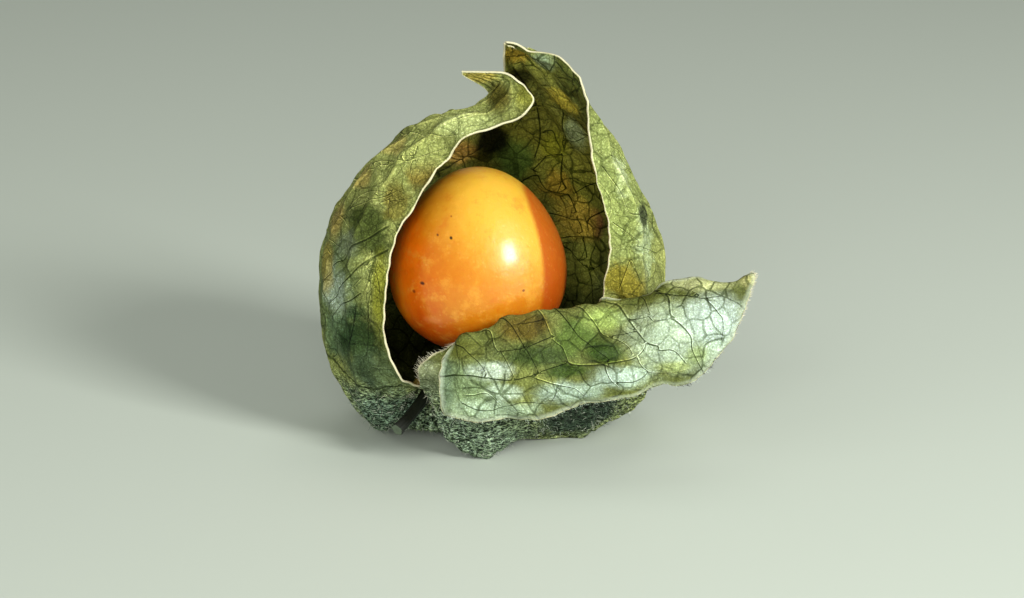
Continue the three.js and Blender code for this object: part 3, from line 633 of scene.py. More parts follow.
def fill(tree, node, inputs):
    """Gives a node's inputs plain values or links them to sockets."""
    for key, value in inputs.items():
        if isinstance(value, bpy.types.NodeSocket):
            tree.links.new(value, node.inputs[key])
        else:
            node.inputs[key].default_value = value


def add(tree, kind, inputs=None, **settings):
    """Adds a node, sets its options and fills its inputs."""
    node = tree.nodes.new(kind)
    for key, value in settings.items():
        setattr(node, key, value)
    fill(tree, node, inputs or {})
    return node


def math_node(tree, operation, a, b=0.0):
    """The result of one sum of two values."""
    return add(tree, "ShaderNodeMath", {0: a, 1: b}, operation=operation).outputs[0]


def times(tree, a, b):
    """Two values multiplied."""
    return math_node(tree, "MULTIPLY", a, b)


def plus(tree, a, b):
    """Two values added."""
    return math_node(tree, "ADD", a, b)


def minus(tree, a, b):
    """The first value less the second."""
    return math_node(tree, "SUBTRACT", a, b)


def vector_node(tree, operation, a, b):
    """The result of one sum of two vectors, or for SCALE of a vector and a value."""
    second = "Scale" if operation == "SCALE" else 1
    return add(tree, "ShaderNodeVectorMath", {0: a, second: b}, operation=operation).outputs[0]


def spread(tree, value, start, end, low=0.0, high=1.0):
    """Maps a value's range smoothly onto another."""
    return add(tree, "ShaderNodeMapRange", {
        "Value": value, "From Min": start, "From Max": end, "To Min": low, "To Max": high},
        interpolation_type="SMOOTHSTEP").outputs["Result"]


def ramp_down(tree, value, start, end):
    """1 where value is under start, falling smoothly to 0 at end."""
    return spread(tree, value, start, end, 1.0, 0.0)


def noise_node(tree, place, scale, detail=2.0, roughness=0.5):
    """Soft noise round one half."""
    return add(tree, "ShaderNodeTexNoise", {
        "Vector": place, "Scale": scale, "Detail": detail, "Roughness": roughness}).outputs["Fac"]


def cell_edges(tree, place, scale):
    """The distance to the nearest border of a net of cells."""
    return add(tree, "ShaderNodeTexVoronoi", {"Vector": place, "Scale": scale},
               feature="DISTANCE_TO_EDGE").outputs["Distance"]


def mixed(tree, factor, a, b):
    """Colour a mixed towards colour b."""
    return add(tree, "ShaderNodeMix", {0: factor, 6: a, 7: b}, data_type="RGBA").outputs[2]


def object_place(tree):
    """The place on the object, in metres."""
    return add(tree, "ShaderNodeTexCoord").outputs["Object"]


def coordinate(tree, place, axis):
    """One coordinate of a place."""
    return add(tree, "ShaderNodeSeparateXYZ", {0: place}).outputs[axis]


def painted_value(tree, name, output="Fac"):
    """A value that the mesh stores, for a material."""
    return add(tree, "ShaderNodeAttribute", attribute_name=name).outputs[output]


def stored_value(tree, name, kind="FLOAT"):
    """A value that the mesh stores, for a geometry tree."""
    return add(tree, "GeometryNodeInputNamedAttribute", {"Name": name}, data_type=kind).outputs["Attribute"]


def bumped(tree, height, distance):
    """The normal over a raised height."""
    return add(tree, "ShaderNodeBump", {"Height": height, "Distance": distance}).outputs[0]


def new_group(name, kind, inputs, outputs):
    """A node group from its inputs with their defaults, None for a geometry, and its outputs' names."""
    tree = bpy.data.node_groups.new(name, kind)
    types = {float: "NodeSocketFloat", tuple: "NodeSocketVector", type(None): "NodeSocketGeometry"}
    for label, default in inputs.items():
        socket = tree.interface.new_socket(label, in_out="INPUT", socket_type=types[type(default)])
        if default is not None:
            socket.default_value = default
    result = "NodeSocketGeometry" if kind == "GeometryNodeTree" else "NodeSocketFloat"
    for label in outputs:
        tree.interface.new_socket(label, in_out="OUTPUT", socket_type=result)
    return tree, tree.nodes.new("NodeGroupInput").outputs, tree.nodes.new("NodeGroupOutput")


def socket_id(tree, name):
    """The identifier of a group's input, which a modifier is set by."""
    for item in tree.interface.items_tree:
        if item.item_type == "SOCKET" and item.in_out == "INPUT" and item.name == name:
            return item.identifier
    raise ValueError(f"{tree.name} has no input {name}")


def apply_tree(source, tree, values, name):
    """Runs a geometry tree on an object and puts the result, a plain mesh object, in its place."""
    modifier = source.modifiers.new(tree.name, "NODES")
    modifier.node_group = tree
    for key, value in values.items():
        modifier[socket_id(tree, key)] = value
    source.update_tag()
    bpy.context.view_layer.update()
    evaluated = source.evaluated_get(bpy.context.evaluated_depsgraph_get())
    mesh = bpy.data.meshes.new_from_object(evaluated)
    mesh.name = name
    bpy.data.objects.remove(source)
    return show(name, mesh)


def bent_place(tree, place):
    """The place on the leaf in mm, bent by soft noise so that the net isn't too even."""
    noise = add(tree, "ShaderNodeTexNoise", {"Vector": place, "Scale": 0.36, "Detail": 1.0})
    centred = vector_node(tree, "SUBTRACT", noise.outputs["Color"], (0.5, 0.5, 0.5))
    return vector_node(tree, "ADD", place, vector_node(tree, "SCALE", centred, 1.35))


def net_tree(outside, inside, torn):
    """Puffs the leaf's cells outwards: the net between them is sunk outside and raised inside."""
    tree, enter, leave = new_group("Raised leaf net", "GeometryNodeTree", {
        "Geometry": None, "Cell size": 2.4, "Puff height": 0.00012}, ["Geometry"])
    bent = bent_place(tree, stored_value(tree, "place", "FLOAT_VECTOR"))
    cells = cell_edges(tree, bent, math_node(tree, "DIVIDE", 1.0, enter["Cell size"]))
    puff = times(tree, minus(tree, 0.6, ramp_down(tree, cells, 0.0, 0.3)), enter["Puff height"])
    height = times(tree, puff, stored_value(tree, "relief"))
    offset = vector_node(tree, "SCALE", stored_value(tree, "through", "FLOAT_VECTOR"), height)
    moved = add(tree, "GeometryNodeSetPosition", {"Geometry": enter["Geometry"], "Offset": offset})
    geometry = add(tree, "GeometryNodeRealizeInstances", {"Geometry": moved.outputs[0]}).outputs[0]
    kind = stored_value(tree, "kind", "INT")
    for number, material in enumerate((outside, inside, torn)):
        chosen = add(tree, "FunctionNodeCompare", {2: kind, 3: number}, data_type="INT", operation="EQUAL")
        geometry = add(tree, "GeometryNodeSetMaterial", {
            "Geometry": geometry, "Selection": chosen.outputs[0], "Material": material}).outputs[0]
    fill(tree, leave, {"Geometry": geometry})
    return tree


def hair_tree(material):
    """Puts a thin tapered hair on every point, leaning and as long as the point says."""
    tree, enter, leave = new_group("Fine hairs", "GeometryNodeTree", {
        "Geometry": None, "Hair radius": 0.00002}, ["Geometry"])
    hair = add(tree, "GeometryNodeMeshCone", {
        "Vertices": 3, "Side Segments": 1, "Radius Top": 0.15, "Radius Bottom": 1.0, "Depth": 1.0},
        fill_type="NGON")
    turn = add(tree, "FunctionNodeAlignRotationToVector",
               {"Vector": stored_value(tree, "lean", "FLOAT_VECTOR")}, axis="Z")
    size = add(tree, "ShaderNodeCombineXYZ", {
        "X": enter["Hair radius"], "Y": enter["Hair radius"], "Z": stored_value(tree, "reach")})
    placed = add(tree, "GeometryNodeInstanceOnPoints", {
        "Points": enter["Geometry"], "Instance": hair.outputs["Mesh"],
        "Rotation": turn.outputs["Rotation"], "Scale": size.outputs[0]})
    whole = add(tree, "GeometryNodeRealizeInstances", {"Geometry": placed.outputs[0]})
    painted = add(tree, "GeometryNodeSetMaterial", {"Geometry": whole.outputs[0], "Material": material})
    fill(tree, leave, {"Geometry": painted.outputs[0]})
    return tree


def leaf_veins_group():
    """Masks of the leaf's veins, from the place on the leaf and what the sheet's points know."""
    tree, enter, leave = new_group("Leaf veins", "ShaderNodeTree", {
        "Place": (0.0, 0.0, 0.0), **VEIN_VALUES, "Cell size": 2.4},
        ["Net", "Fine net", "Ribs", "Veins", "Flanks", "Cell tint", "Puff"])
    bent = bent_place(tree, enter["Place"])
    scale = math_node(tree, "DIVIDE", 1.0, enter["Cell size"])
    cells = cell_edges(tree, bent, scale)
    small = cell_edges(tree, bent, times(tree, scale, 2.3))
    tint = add(tree, "ShaderNodeTexVoronoi", {"Vector": bent, "Scale": scale}, feature="F1")
    phase = minus(tree, math_node(tree, "FRACT", enter["Side vein"]), 0.5)
    side = ramp_down(tree, minus(tree, 0.5, math_node(tree, "ABSOLUTE", phase)), 0.008, 0.04)
    rib = ramp_down(tree, enter["Rib distance"], 0.08, 0.3)
    close = ramp_down(tree, enter["Vein near"], 0.4, 0.75)
    across = math_node(tree, "DIVIDE", enter["Vein side"], times(tree, enter["Vein width"], VEIN_HALF_WIDTH))
    # A standing vein's dark core lies to one side and its pale flank to the other: the core is partly the
    # vein's own colour and partly painted shadow, the flank a painted highlight.
    core = ramp_down(tree, math_node(tree, "ABSOLUTE", minus(tree, across, 0.8)), 0.3, 1.5)
    flank = ramp_down(tree, math_node(tree, "ABSOLUTE", plus(tree, across, 0.9)), 0.3, 1.3)
    pale = enter["Vein paleness"]
    dark = times(tree, close, minus(tree, 1.0, times(tree, pale, 0.4)))
    tint = add(tree, "ShaderNodeSeparateColor", {"Color": tint.outputs["Color"]})
    fill(tree, leave, {
        "Net": ramp_down(tree, cells, 0.014, 0.058),
        "Fine net": ramp_down(tree, small, 0.02, 0.1),
        "Ribs": times(tree, math_node(tree, "MAXIMUM", side, rib), enter["Plain ribs"]),
        "Veins": times(tree, core, dark),
        "Flanks": times(tree, times(tree, flank, pale), close),
        "Cell tint": tint.outputs[0],
        "Puff": ramp_down(tree, cells, 0.0, 0.26),
    })


def soft_spot_group():
    """A ragged soft ball of 1 that fades to 0, for patches of colour at a place on the object."""
    tree, enter, leave = new_group("Soft spot", "ShaderNodeTree", {
        "Place": (0.0, 0.0, 0.0), "Roughness": 0.0, "Centre": (0.0, 0.0, 0.0),
        "Size": (0.005, 0.005, 0.005), "Ragged": 0.4}, ["Mask"])
    away = vector_node(tree, "SUBTRACT", enter["Place"], enter["Centre"])
    away = vector_node(tree, "DIVIDE", away, enter["Size"])
    far = add(tree, "ShaderNodeVectorMath", {0: away}, operation="LENGTH").outputs["Value"]
    rough = times(tree, enter["Roughness"], enter["Ragged"])
    distance = plus(tree, far, times(tree, rough, 3.0))
    fill(tree, leave, {"Mask": ramp_down(tree, distance, 0.4, 1.1)})


def make_shared_groups():
    """The node groups that several materials use."""
    if "Leaf veins" not in bpy.data.node_groups:
        leaf_veins_group()
        soft_spot_group()


def here(x, y, z):
    """A place given in mm with the berry over the origin, in the frame's metres."""
    return tuple((np.array([x, y, z]) + PLACE) * MM)


def linear(*screen):
    """A colour from screen values of 0 to 255 for red, green and blue."""
    values = [value / 255.0 for value in screen]
    return (*(value / 12.92 if value <= 0.04045 else ((value + 0.055) / 1.055) ** 2.4
              for value in values), 1.0)


def start_material(name):
    """A new node material with its shader and output, and nothing else."""
    material = bpy.data.materials.new(name)
    material.use_nodes = True
    tree = material.node_tree
    tree.nodes.clear()
    shader = add(tree, "ShaderNodeBsdfPrincipled")
    add(tree, "ShaderNodeOutputMaterial", {"Surface": shader.outputs[0]})
    return material, tree, shader


def paint_spots(tree, place, colour, spots):
    """Lays the soft patches of one table on the colour."""
    rough = minus(tree, noise_node(tree, place, 420.0, 4.0, 0.6), 0.5)
    for centre, size, patch, strength, ragged in spots:
        spot = add(tree, "ShaderNodeGroup", {
            "Place": place, "Roughness": rough, "Centre": here(*centre),
            "Size": tuple(value * MM for value in size), "Ragged": float(ragged)},
            node_tree=bpy.data.node_groups["Soft spot"])
        colour = mixed(tree, times(tree, spot.outputs["Mask"], strength), colour, linear(*patch))
    return colour


DOT_TONE = (1.7, 1.7, 2.2)
RIB_TONE = (1.9, 1.8, 1.9)
FLANK_HIGHLIGHT_TONE = (2.4, 2.3, 2.5)
WOOL_TONES = ((0.04, 0.09, 0.07, 1.0), (2.8, 2.8, 3.2, 1.0))
MIDDLE_TONE = 0.35        # the leaf's contrast is raised about this value
LEAF_CONTRAST = 1.3
FELT_FADE = (0.006, 0.0094)     # heights in metres between which the painted felt ends


def wool_colour(tree, place, colour):
    """The dusty felt near the ground, as short pale and dark streaks on the leaf's own colour."""
    flat = vector_node(tree, "MULTIPLY", place, (1.0, 1.0, 3.4))
    streaks = spread(tree, noise_node(tree, flat, 2100.0, 4.0, 0.78), 0.44, 0.6)
    dusty = mixed(tree, 0.4, colour, linear(70, 84, 68))
    return vector_node(tree, "MULTIPLY", dusty, mixed(tree, streaks, *WOOL_TONES))


def leaf_material(name, look, spots):
    """The dry leaf of the husk, with its mottling, felt, veins and pale torn edge, painted highlights beside
    the standing veins and the painted shade and sheen that some of its patches carry.
    """
    material, tree, shader = start_material(name)
    place = object_place(tree)
    veins = add(tree, "ShaderNodeGroup", {
        "Place": painted_value(tree, "place", "Vector"), "Cell size": look["cell"],
        **{label: painted_value(tree, label.lower().replace(" ", "_")) for label in VEIN_VALUES}},
        node_tree=bpy.data.node_groups["Leaf veins"]).outputs
    slow, quick, specks = (noise_node(tree, place, scale, detail, 0.65)
                           for scale, detail in ((130.0, 3.0), (900.0, 6.0), (5200.0, 2.0)))
    turned = painted_value(tree, "turned")
    edge_distance = painted_value(tree, "edge_distance")

    colour = mixed(tree, spread(tree, slow, 0.36, 0.64), look["mid"], look["light"])
    colour = paint_spots(tree, place, colour, spots)
    for value, start, end, change in (
            (veins["Cell tint"], 0.0, 1.0, look["tint"]), (quick, 0.34, 0.7, -look["mottle"]),
            (specks, 0.36, 0.66, look["grain"])):
        shade = spread(tree, value, start, end, 1.0 - change, 1.0 + change)
        colour = vector_node(tree, "SCALE", colour, shade)
    dots = times(tree, spread(tree, specks, 0.57, 0.66), look["dots"])
    colour = mixed(tree, dots, colour, vector_node(tree, "MULTIPLY", colour, DOT_TONE))
    low = times(tree, ramp_down(tree, coordinate(tree, place, "Z"), *FELT_FADE), look["felt"])
    colour = mixed(tree, low, colour, wool_colour(tree, place, colour))

    plain = minus(tree, 1.0, times(tree, turned, 0.12))
    net = times(tree, times(tree, spread(tree, slow, 0.4, 0.56, 1.0, 0.45), plain), look["net_mix"])
    fine = minus(tree, look["fine_mix"], times(tree, turned, 0.18))
    # The pale vein flank laid here is a painted highlight; the dark vein cores are partly painted shadow.
    for mask, strength, tone in (
            ("Fine net", fine, look["vein_tone"]), ("Net", net, look["vein_tone"]),
            ("Ribs", look["rib_mix"], RIB_TONE), ("Flanks", look["flank_highlight_mix"], FLANK_HIGHLIGHT_TONE),
            ("Veins", look["vein_mix"], look["vein_tone"])):
        toned = vector_node(tree, "MULTIPLY", colour, tone)
        colour = mixed(tree, times(tree, veins[mask], strength), colour, toned)
    colour = vector_node(tree, "SCALE", colour, 1 / MIDDLE_TONE)
    colour = add(tree, "ShaderNodeGamma", {"Color": colour, "Gamma": LEAF_CONTRAST}).outputs[0]
    colour = vector_node(tree, "SCALE", colour, MIDDLE_TONE)
    margin = times(tree, ramp_down(tree, edge_distance, 0.15, 0.7), times(tree, turned, look["margin_mix"]))
    colour = mixed(tree, margin, colour, linear(206, 218, 192))
    rim = times(tree, ramp_down(tree, edge_distance, 0.0, 0.16), look["rim_mix"])
    colour = mixed(tree, rim, colour, look["rim"])

    height = times(tree, quick, 0.35)
    for mask, amount in (("Net", look["net_step"]), ("Fine net", look["net_step"] * 0.8), ("Ribs", 0.8),
                         ("Puff", look["puff_step"]), ("Veins", -0.5), ("Flanks", 0.7)):
        height = plus(tree, height, times(tree, veins[mask], amount))
    height = plus(tree, height, times(tree, specks, 0.45))
    fill(tree, shader, {
        "Base Color": colour,
        "Roughness": spread(tree, quick, 0.3, 0.7, look["rough"] - 0.08, look["rough"] + 0.1),
        "Specular IOR Level": look["gloss"],
        "Subsurface Weight": 0.1,
        "Subsurface Radius": (0.6, 0.8, 0.25),
        "Subsurface Scale": 0.0005,
        "Normal": bumped(tree, height, look["bump"] * MM),
    })
    return material


def outside_material():
    """The dusty outer face: pale sage at the top, olive lower down, grey green near the base, with painted
    shade in the left lobe's middle and under the turned-down lobe.
    """
    return leaf_material("Husk outside", {
        "light": linear(142, 147, 92), "mid": linear(120, 125, 76),
        "vein_tone": (0.2, 0.24, 0.12), "rim": linear(228, 224, 186),
        "cell": 2.5, "mottle": 0.09, "tint": 0.06, "grain": 0.15, "dots": 0.5, "felt": 0.95,
        "fine_mix": 0.24, "net_mix": 0.48, "rib_mix": 0.36, "vein_mix": 0.82, "flank_highlight_mix": 1.0,
        "rim_mix": 0.8, "margin_mix": 0.0, "net_step": 0.3, "puff_step": -0.3,
        "rough": 0.72, "gloss": 0.16, "bump": 0.2,
    }, OUTSIDE_SPOTS)


def inside_material():
    """The smoother inner face: silvery green on the turned-down lobe, partly painted sheen, brown olive
    inside, with painted shade deep in the hollow and behind the berry.
    """
    return leaf_material("Husk inside", {
        "light": linear(124, 130, 78), "mid": linear(92, 98, 50),
        "vein_tone": (0.16, 0.2, 0.08), "rim": linear(206, 202, 156),
        "cell": 2.4, "mottle": 0.12, "tint": 0.1, "grain": 0.16, "dots": 0.3, "felt": 0.0,
        "fine_mix": 0.28, "net_mix": 0.74, "rib_mix": 0.15, "vein_mix": 0.94, "flank_highlight_mix": 1.0,
        "rim_mix": 0.7, "margin_mix": 0.35, "net_step": -0.3, "puff_step": -0.7,
        "rough": 0.62, "gloss": 0.2, "bump": 0.18,
    }, INSIDE_SPOTS)


def torn_material():
    """The pale torn edge of the leaf."""
    material, tree, shader = start_material("Husk torn edge")
    noise = noise_node(tree, object_place(tree), 700.0, 5.0, 0.7)
    fill(tree, shader, {
        "Base Color": mixed(tree, noise, linear(178, 170, 126), linear(226, 222, 190)),
        "Roughness": 0.8, "Normal": bumped(tree, noise, 0.0001)})
    return material


def hair_material():
    """Pale dry hairs, grey green near the ground, pale and dark along the turned-down lobe, the dark ones a
    painted shadow line under its edge.
    """
    material, tree, shader = start_material("Husk hairs")
    place = object_place(tree)
    noise = noise_node(tree, place, 1300.0)
    pale = mixed(tree, noise, linear(168, 164, 124), linear(224, 220, 196))
    grey = mixed(tree, spread(tree, noise, 0.4, 0.6), linear(70, 92, 72), linear(196, 204, 180))
    colour = mixed(tree, ramp_down(tree, coordinate(tree, place, "Z"), 0.004, 0.008), pale, grey)
    # At the front the fringe mixes pale hairs with near black ones; the dark hairs are a painted shadow line
    # under the turned-down lobe's edge.
    fringe = mixed(tree, spread(tree, noise, 0.5, 0.56), linear(10, 22, 18), linear(176, 190, 170))
    ahead = ramp_down(tree, coordinate(tree, place, "Y"), -0.0115, -0.0105)
    fill(tree, shader, {"Base Color": mixed(tree, ahead, colour, fringe), "Roughness": 0.7})
    return material


# Painted shadow: a darker band down the berry's right side, where the husk's right wall shades it.
SHADOW_BAND_MIDDLE = 0.019             # height in metres where the darker band lies furthest right
SHADOW_BAND_BEND = 32.0
SHADOW_BAND_START = (0.0066, 0.0072)   # metres to the right of the berry's middle


def berry_material(settings):
    """Glossy thin skin over juicy flesh, with fine pores and a few dark specks, a painted shadow down the
    right side, painted shade at the bottom and painted light at the left edge.
    """
    material, tree, shader = start_material("Berry skin")
    place = object_place(tree)
    colour = mixed(tree, noise_node(tree, place, 110.0, 3.0, 0.5),
                   tuple(settings.deep_colour), tuple(settings.bright_colour))
    colour = paint_spots(tree, place, colour, BERRY_PATCHES)
    patchy = noise_node(tree, place, 480.0, 6.0, 0.72)
    colour = mixed(tree, spread(tree, patchy, 0.5, 0.68, 0.0, 0.4), colour, linear(226, 170, 60))
    colour = mixed(tree, spread(tree, patchy, 0.32, 0.48, 0.3, 0.0), colour, linear(190, 78, 0))

    # The painted shadow of the husk's right wall: a darker band down the right side, a little bent
    lift = minus(tree, coordinate(tree, place, "Z"), SHADOW_BAND_MIDDLE)
    band = minus(tree, coordinate(tree, place, "X"), here(0, 0, 0)[0])
    band = plus(tree, band, times(tree, times(tree, lift, lift), SHADOW_BAND_BEND))
    band = times(tree, spread(tree, band, *SHADOW_BAND_START), 0.85)
    colour = mixed(tree, band, colour, linear(174, 68, 0))

    pores = add(tree, "ShaderNodeTexVoronoi", {"Vector": place, "Scale": 1500.0})
    dots = ramp_down(tree, pores.outputs["Distance"], 0.1, 0.3)
    colour = mixed(tree, times(tree, dots, 0.07), colour, linear(250, 206, 110))
    grain = noise_node(tree, place, 1400.0, 4.0, 0.6)
    height = plus(tree, times(tree, grain, 0.55), noise_node(tree, place, 420.0))
    height = minus(tree, height, times(tree, dots, 0.12))
    rough = add(tree, "ShaderNodeMapRange", {
        "Value": grain, "From Min": 0.3, "From Max": 0.7, "To Min": 0.36, "To Max": 0.54})
    fill(tree, shader, {
        "Base Color": paint_spots(tree, place, colour, BERRY_SPECKS),
        "Roughness": rough.outputs[0],
        "Subsurface Weight": 0.5,
        "Subsurface Radius": (1.0, 0.42, 0.1),
        "Subsurface Scale": 0.0035,
        "Coat Weight": 0.45,
        "Coat Roughness": 0.19,
        "Normal": bumped(tree, height, 0.00009),
    })
    return material


def stalk_material():
    """Dull dark stalk with a paler cut end, its near black partly painted shade."""
    material, tree, shader = start_material("Stalk")
    noise = noise_node(tree, object_place(tree), 900.0, 5.0, 0.7)
    # Near black: partly the dry stalk's own colour, partly painted shade where it lies between the lumps of
    # the base.
    colour = mixed(tree, noise, linear(4, 6, 3), linear(26, 30, 18))
    fill(tree, shader, {
        "Base Color": mixed(tree, painted_value(tree, "cut_end"), colour, linear(84, 96, 76)),
        "Roughness": 0.75, "Normal": bumped(tree, noise, 0.00015)})
    return material


def build_husk(settings):
    """The closed sheet of the husk with two faces and a torn rim, and the hairs that grow on it."""
    make_shared_groups()
    sheet = Sheet()
    sheet.shape(settings)
    relief = limited(sheet.edge_distance / 0.8) * limited((sheet.v - 0.6) / 1.2)
    relief *= sheet.tip
    phase = side_vein_phase(sheet)
    to_vein = np.abs(phase - np.round(phase)) * SIDE_VEIN_SPACING
    plain = np.maximum(bell(sheet.rib_distance, 0.4), 0.6 * bell(to_vein, 0.28))
    clear = limited(sheet.vein_near / 1.2)
    plain_ribs = [(1 - 0.8 * sheet.turned) * clear, 0.3 * (1 - sheet.turned) * clear]
    standing = 0.5 * bell(sheet.vein_side, 0.16 * sheet.vein_width)
    standing *= bell(sheet.vein_near, 0.6, 4) * sheet.vein_width
    half = settings.sheet_thickness / MM / 2
    faces = []
    for way, ribs in zip((1, -1), plain_ribs):
        proud = settings.rib_height / MM * (plain * ribs + standing) * relief
        faces.append(sheet.points + way * sheet.normals * (half + proud)[:, None])
    outer, inner = faces
    outer[:, 2] = np.maximum(outer[:, 2], 0.0)
    inner[:, 2] = np.maximum(inner[:, 2], 0.05)

    count = len(sheet.points)
    rim = rim_edges(sheet.quads)
    walls = np.stack([rim[:, 1], rim[:, 0], rim[:, 0] + count, rim[:, 1] + count], axis=1)
    faces = np.concatenate([sheet.quads, sheet.quads[:, ::-1] + count, walls])
    bare = mesh_object("husk_sheet", np.concatenate([outer, inner]), faces)
    mesh = bare.data
    give_attribute(mesh, "place", np.tile(sheet.points, (2, 1)), "FLOAT_VECTOR")
    give_attribute(mesh, "through", np.tile(sheet.normals, (2, 1)), "FLOAT_VECTOR")
    give_attribute(mesh, "plain_ribs", np.concatenate(plain_ribs))
    for name in ("edge_distance", "turned", "vein_side", "vein_near", "vein_width", "vein_paleness"):
        give_attribute(mesh, name, np.tile(getattr(sheet, name), 2))
    for name, values in (("relief", relief), ("side_vein", phase),
                         ("rib_distance", np.minimum(sheet.rib_distance, 5.0))):
        give_attribute(mesh, name, np.tile(values, 2))
    kind = mesh.attributes.new("kind", "INT", "FACE")
    kinds = np.repeat([0, 1, 2], [len(sheet.quads), len(sheet.quads), len(walls)]).astype(np.int32)
    kind.data.foreach_set("value", kinds)
    tree = net_tree(outside_material(), inside_material(), torn_material())
    husk = apply_tree(bare, tree, {
        "Cell size": settings.cell_size / MM, "Puff height": settings.puff_height}, "husk_leaf")
    husk.data.shade_smooth()
    return husk, build_hairs(sheet, outer, settings)


def build_hairs(sheet, outer, settings):
    """Fibres at the front left tear, a fringe on the front lobe's lower edge and felt on the base."""
    rng = np.random.default_rng(8)
    roots, leans, reaches = [], [], []

    def grow(root, lean, reach):
        lean = unit(lean)
        lean[2] = max(lean[2], (HAIR_CLEARANCE - root[2]) / reach)
        roots.append(root)
        leans.append(lean)
        reaches.append(reach)

    for index, numbers in enumerate(sheet.maps):
        start, end = PARTS[(index + 2) % 3][1] * FINE_STEPS, PARTS[index][1] * FINE_STEPS
        sides = [(numbers[0, start:], numbers[2, start:]), (numbers[-1, end:], numbers[-3, end:]),
                 (numbers[:, -1], numbers[:, -3])]
        for edge, within in sides:
            for a, b in zip(edge, within):
                if sheet.points[a, 2] > HAIR_TOP:
                    continue
                frayed = index == 0 and sheet.u[a] < 0.1 and sheet.v[a] < FRAY_ROW
                fringe = index == 0 and sheet.v[a] > FRINGE_ROW
                outward = unit(sheet.points[a] - sheet.points[b])
                for _ in range(rng.integers(1, 4) if frayed else FRINGE_COUNT if fringe else 0):
                    root = sheet.points[a] + rng.normal(size=3) * 0.1 - 0.1 * outward
                    lean = outward + rng.normal(size=3) * 0.3
                    grow(root, lean, rng.uniform(*(FRAY_LENGTHS if frayed else FRINGE_LENGTHS)))
    felted = np.ones(len(sheet.points), bool)
    for values, (low, high) in ((sheet.points[:, 2], FELT_HEIGHTS), (sheet.v, FELT_ROWS)):
        felted &= (values > low) & (values < high)
    felt = np.nonzero(felted)[0]
    for k in rng.choice(felt, size=min(len(felt), int(settings.felt_hairs)), replace=False):
        lean = sheet.normals[k] * 0.45 + rng.normal(size=3) * 0.6 + np.array([0.0, 0.0, 0.25])
        grow(outer[k], lean, rng.uniform(*FELT_LENGTHS))
    points = mesh_object("hair_roots", np.array(roots), [])
    give_attribute(points.data, "lean", np.array(leans), "FLOAT_VECTOR")
    give_attribute(points.data, "reach", np.array(reaches) * MM)
    tree = hair_tree(hair_material())
    return apply_tree(points, tree, {"Hair radius": settings.hair_radius}, "husk_hairs")


def build_berry(settings):
    """The egg-shaped berry, very slightly uneven."""
    make_shared_groups()
    sides, rings = 160, 96
    points = []
    for k in range(rings + 1):
        a = -math.pi / 2 + math.pi * k / rings
        taper = (1 - BERRY_TAPER * math.sin(a)) / (1 + 0.5 * BERRY_TAPER ** 2)
        radius = BERRY_WIDTH / 2 * math.cos(a) * taper
        height = BERRY_HEIGHT / 2 * math.sin(a)
        if k in (0, rings):
            points.append((0.0, 0.0, height))
            continue
        for s in range(sides):
            b = 2 * math.pi * s / sides
            points.append((radius * math.cos(b), radius * math.sin(b), height))
    points = np.array(points)
    outward = points / np.linalg.norm(points, axis=1, keepdims=True)
    uneven = BERRY_UNEVENNESS * smooth_noise(points, 11.0, 3)
    points = points + outward * uneven[:, None] + BERRY_CENTRE
    faces = []
    for s in range(sides):
        t = (s + 1) % sides
        faces.append((0, 1 + t, 1 + s))
        top = 1 + (rings - 2) * sides
        faces.append((top + s, top + t, len(points) - 1))
    for k in range(rings - 2):
        low = 1 + k * sides
        for s in range(sides):
            t = (s + 1) % sides
            faces.append((low + s, low + t, low + sides + t, low + sides + s))
    berry = mesh_object("berry_fruit", points, faces)
    berry.data.materials.append(berry_material(settings))
    return berry


def build_stalk():
    """The stalk from its cut end through the ring to the berry, with shallow grooves."""
    sides, steps = 48, 70
    points = []
    for s in range(steps + 1):
        place = s / steps
        centre = spline_point(STALK_PATH, place)
        ahead = spline_point(STALK_PATH, min(1.0, place + 0.01))
        ahead = ahead - spline_point(STALK_PATH, max(0.0, place - 0.01))
        ahead /= np.linalg.norm(ahead)
        across = np.cross(ahead, np.array([0.0, 0.0, 1.0]))
        across /= np.linalg.norm(across)
        over = np.cross(across, ahead)
        radius = STALK_RADIUS * np.interp(place * 5, range(6), STALK_SWELL)
        for k in range(sides):
            a = 2 * math.pi * k / sides
            groove = 1 + 0.07 * math.sin(5 * a + 0.6 * place) + 0.03 * math.sin(13 * a)
            points.append(centre + radius * groove * (math.cos(a) * across + math.sin(a) * over))
    cut = [0.0] * len(points)
    faces = []
    for s in range(steps):
        for k in range(sides):
            a, b = s * sides + k, s * sides + (k + 1) % sides
            faces.append((a, a + sides, b + sides, b))
    for place in (0, 1):
        start, centre = place * steps * sides, spline_point(STALK_PATH, place)
        rim = np.array(points[start:start + sides])
        first = len(points)
        for shrink in (0.93, 0.5):
            points.extend(centre + (rim - centre) * shrink)
            cut.extend([1.0] * sides)
        points.append(centre)
        cut.append(0.7)
        loops = [start, first, first + sides]
        caps = [(low + k, low + (k + 1) % sides, high + (k + 1) % sides, high + k)
                for low, high in zip(loops, loops[1:]) for k in range(sides)]
        caps += [(loops[2] + k, loops[2] + (k + 1) % sides, first + 2 * sides) for k in range(sides)]
        faces.extend(face[::-1] if place else face for face in caps)
    stalk = mesh_object("stalk", np.array(points), faces)
    give_attribute(stalk.data, "cut_end", np.array(cut))
    stalk.data.materials.append(stalk_material())
    return stalk


def aim(thing, target):
    """Turns a light or camera towards a place in metres."""
    thing.rotation_euler = (Vector(target) - thing.location).to_track_quat("-Z", "Y").to_euler()


def area_light(name, place, target, size, power):
    """A square soft light in metres."""
    data = bpy.data.lights.new(name, "AREA")
    data.size = size
    data.energy = power
    light = show(name, data)
    light.location = place
    aim(light, target)
    return light


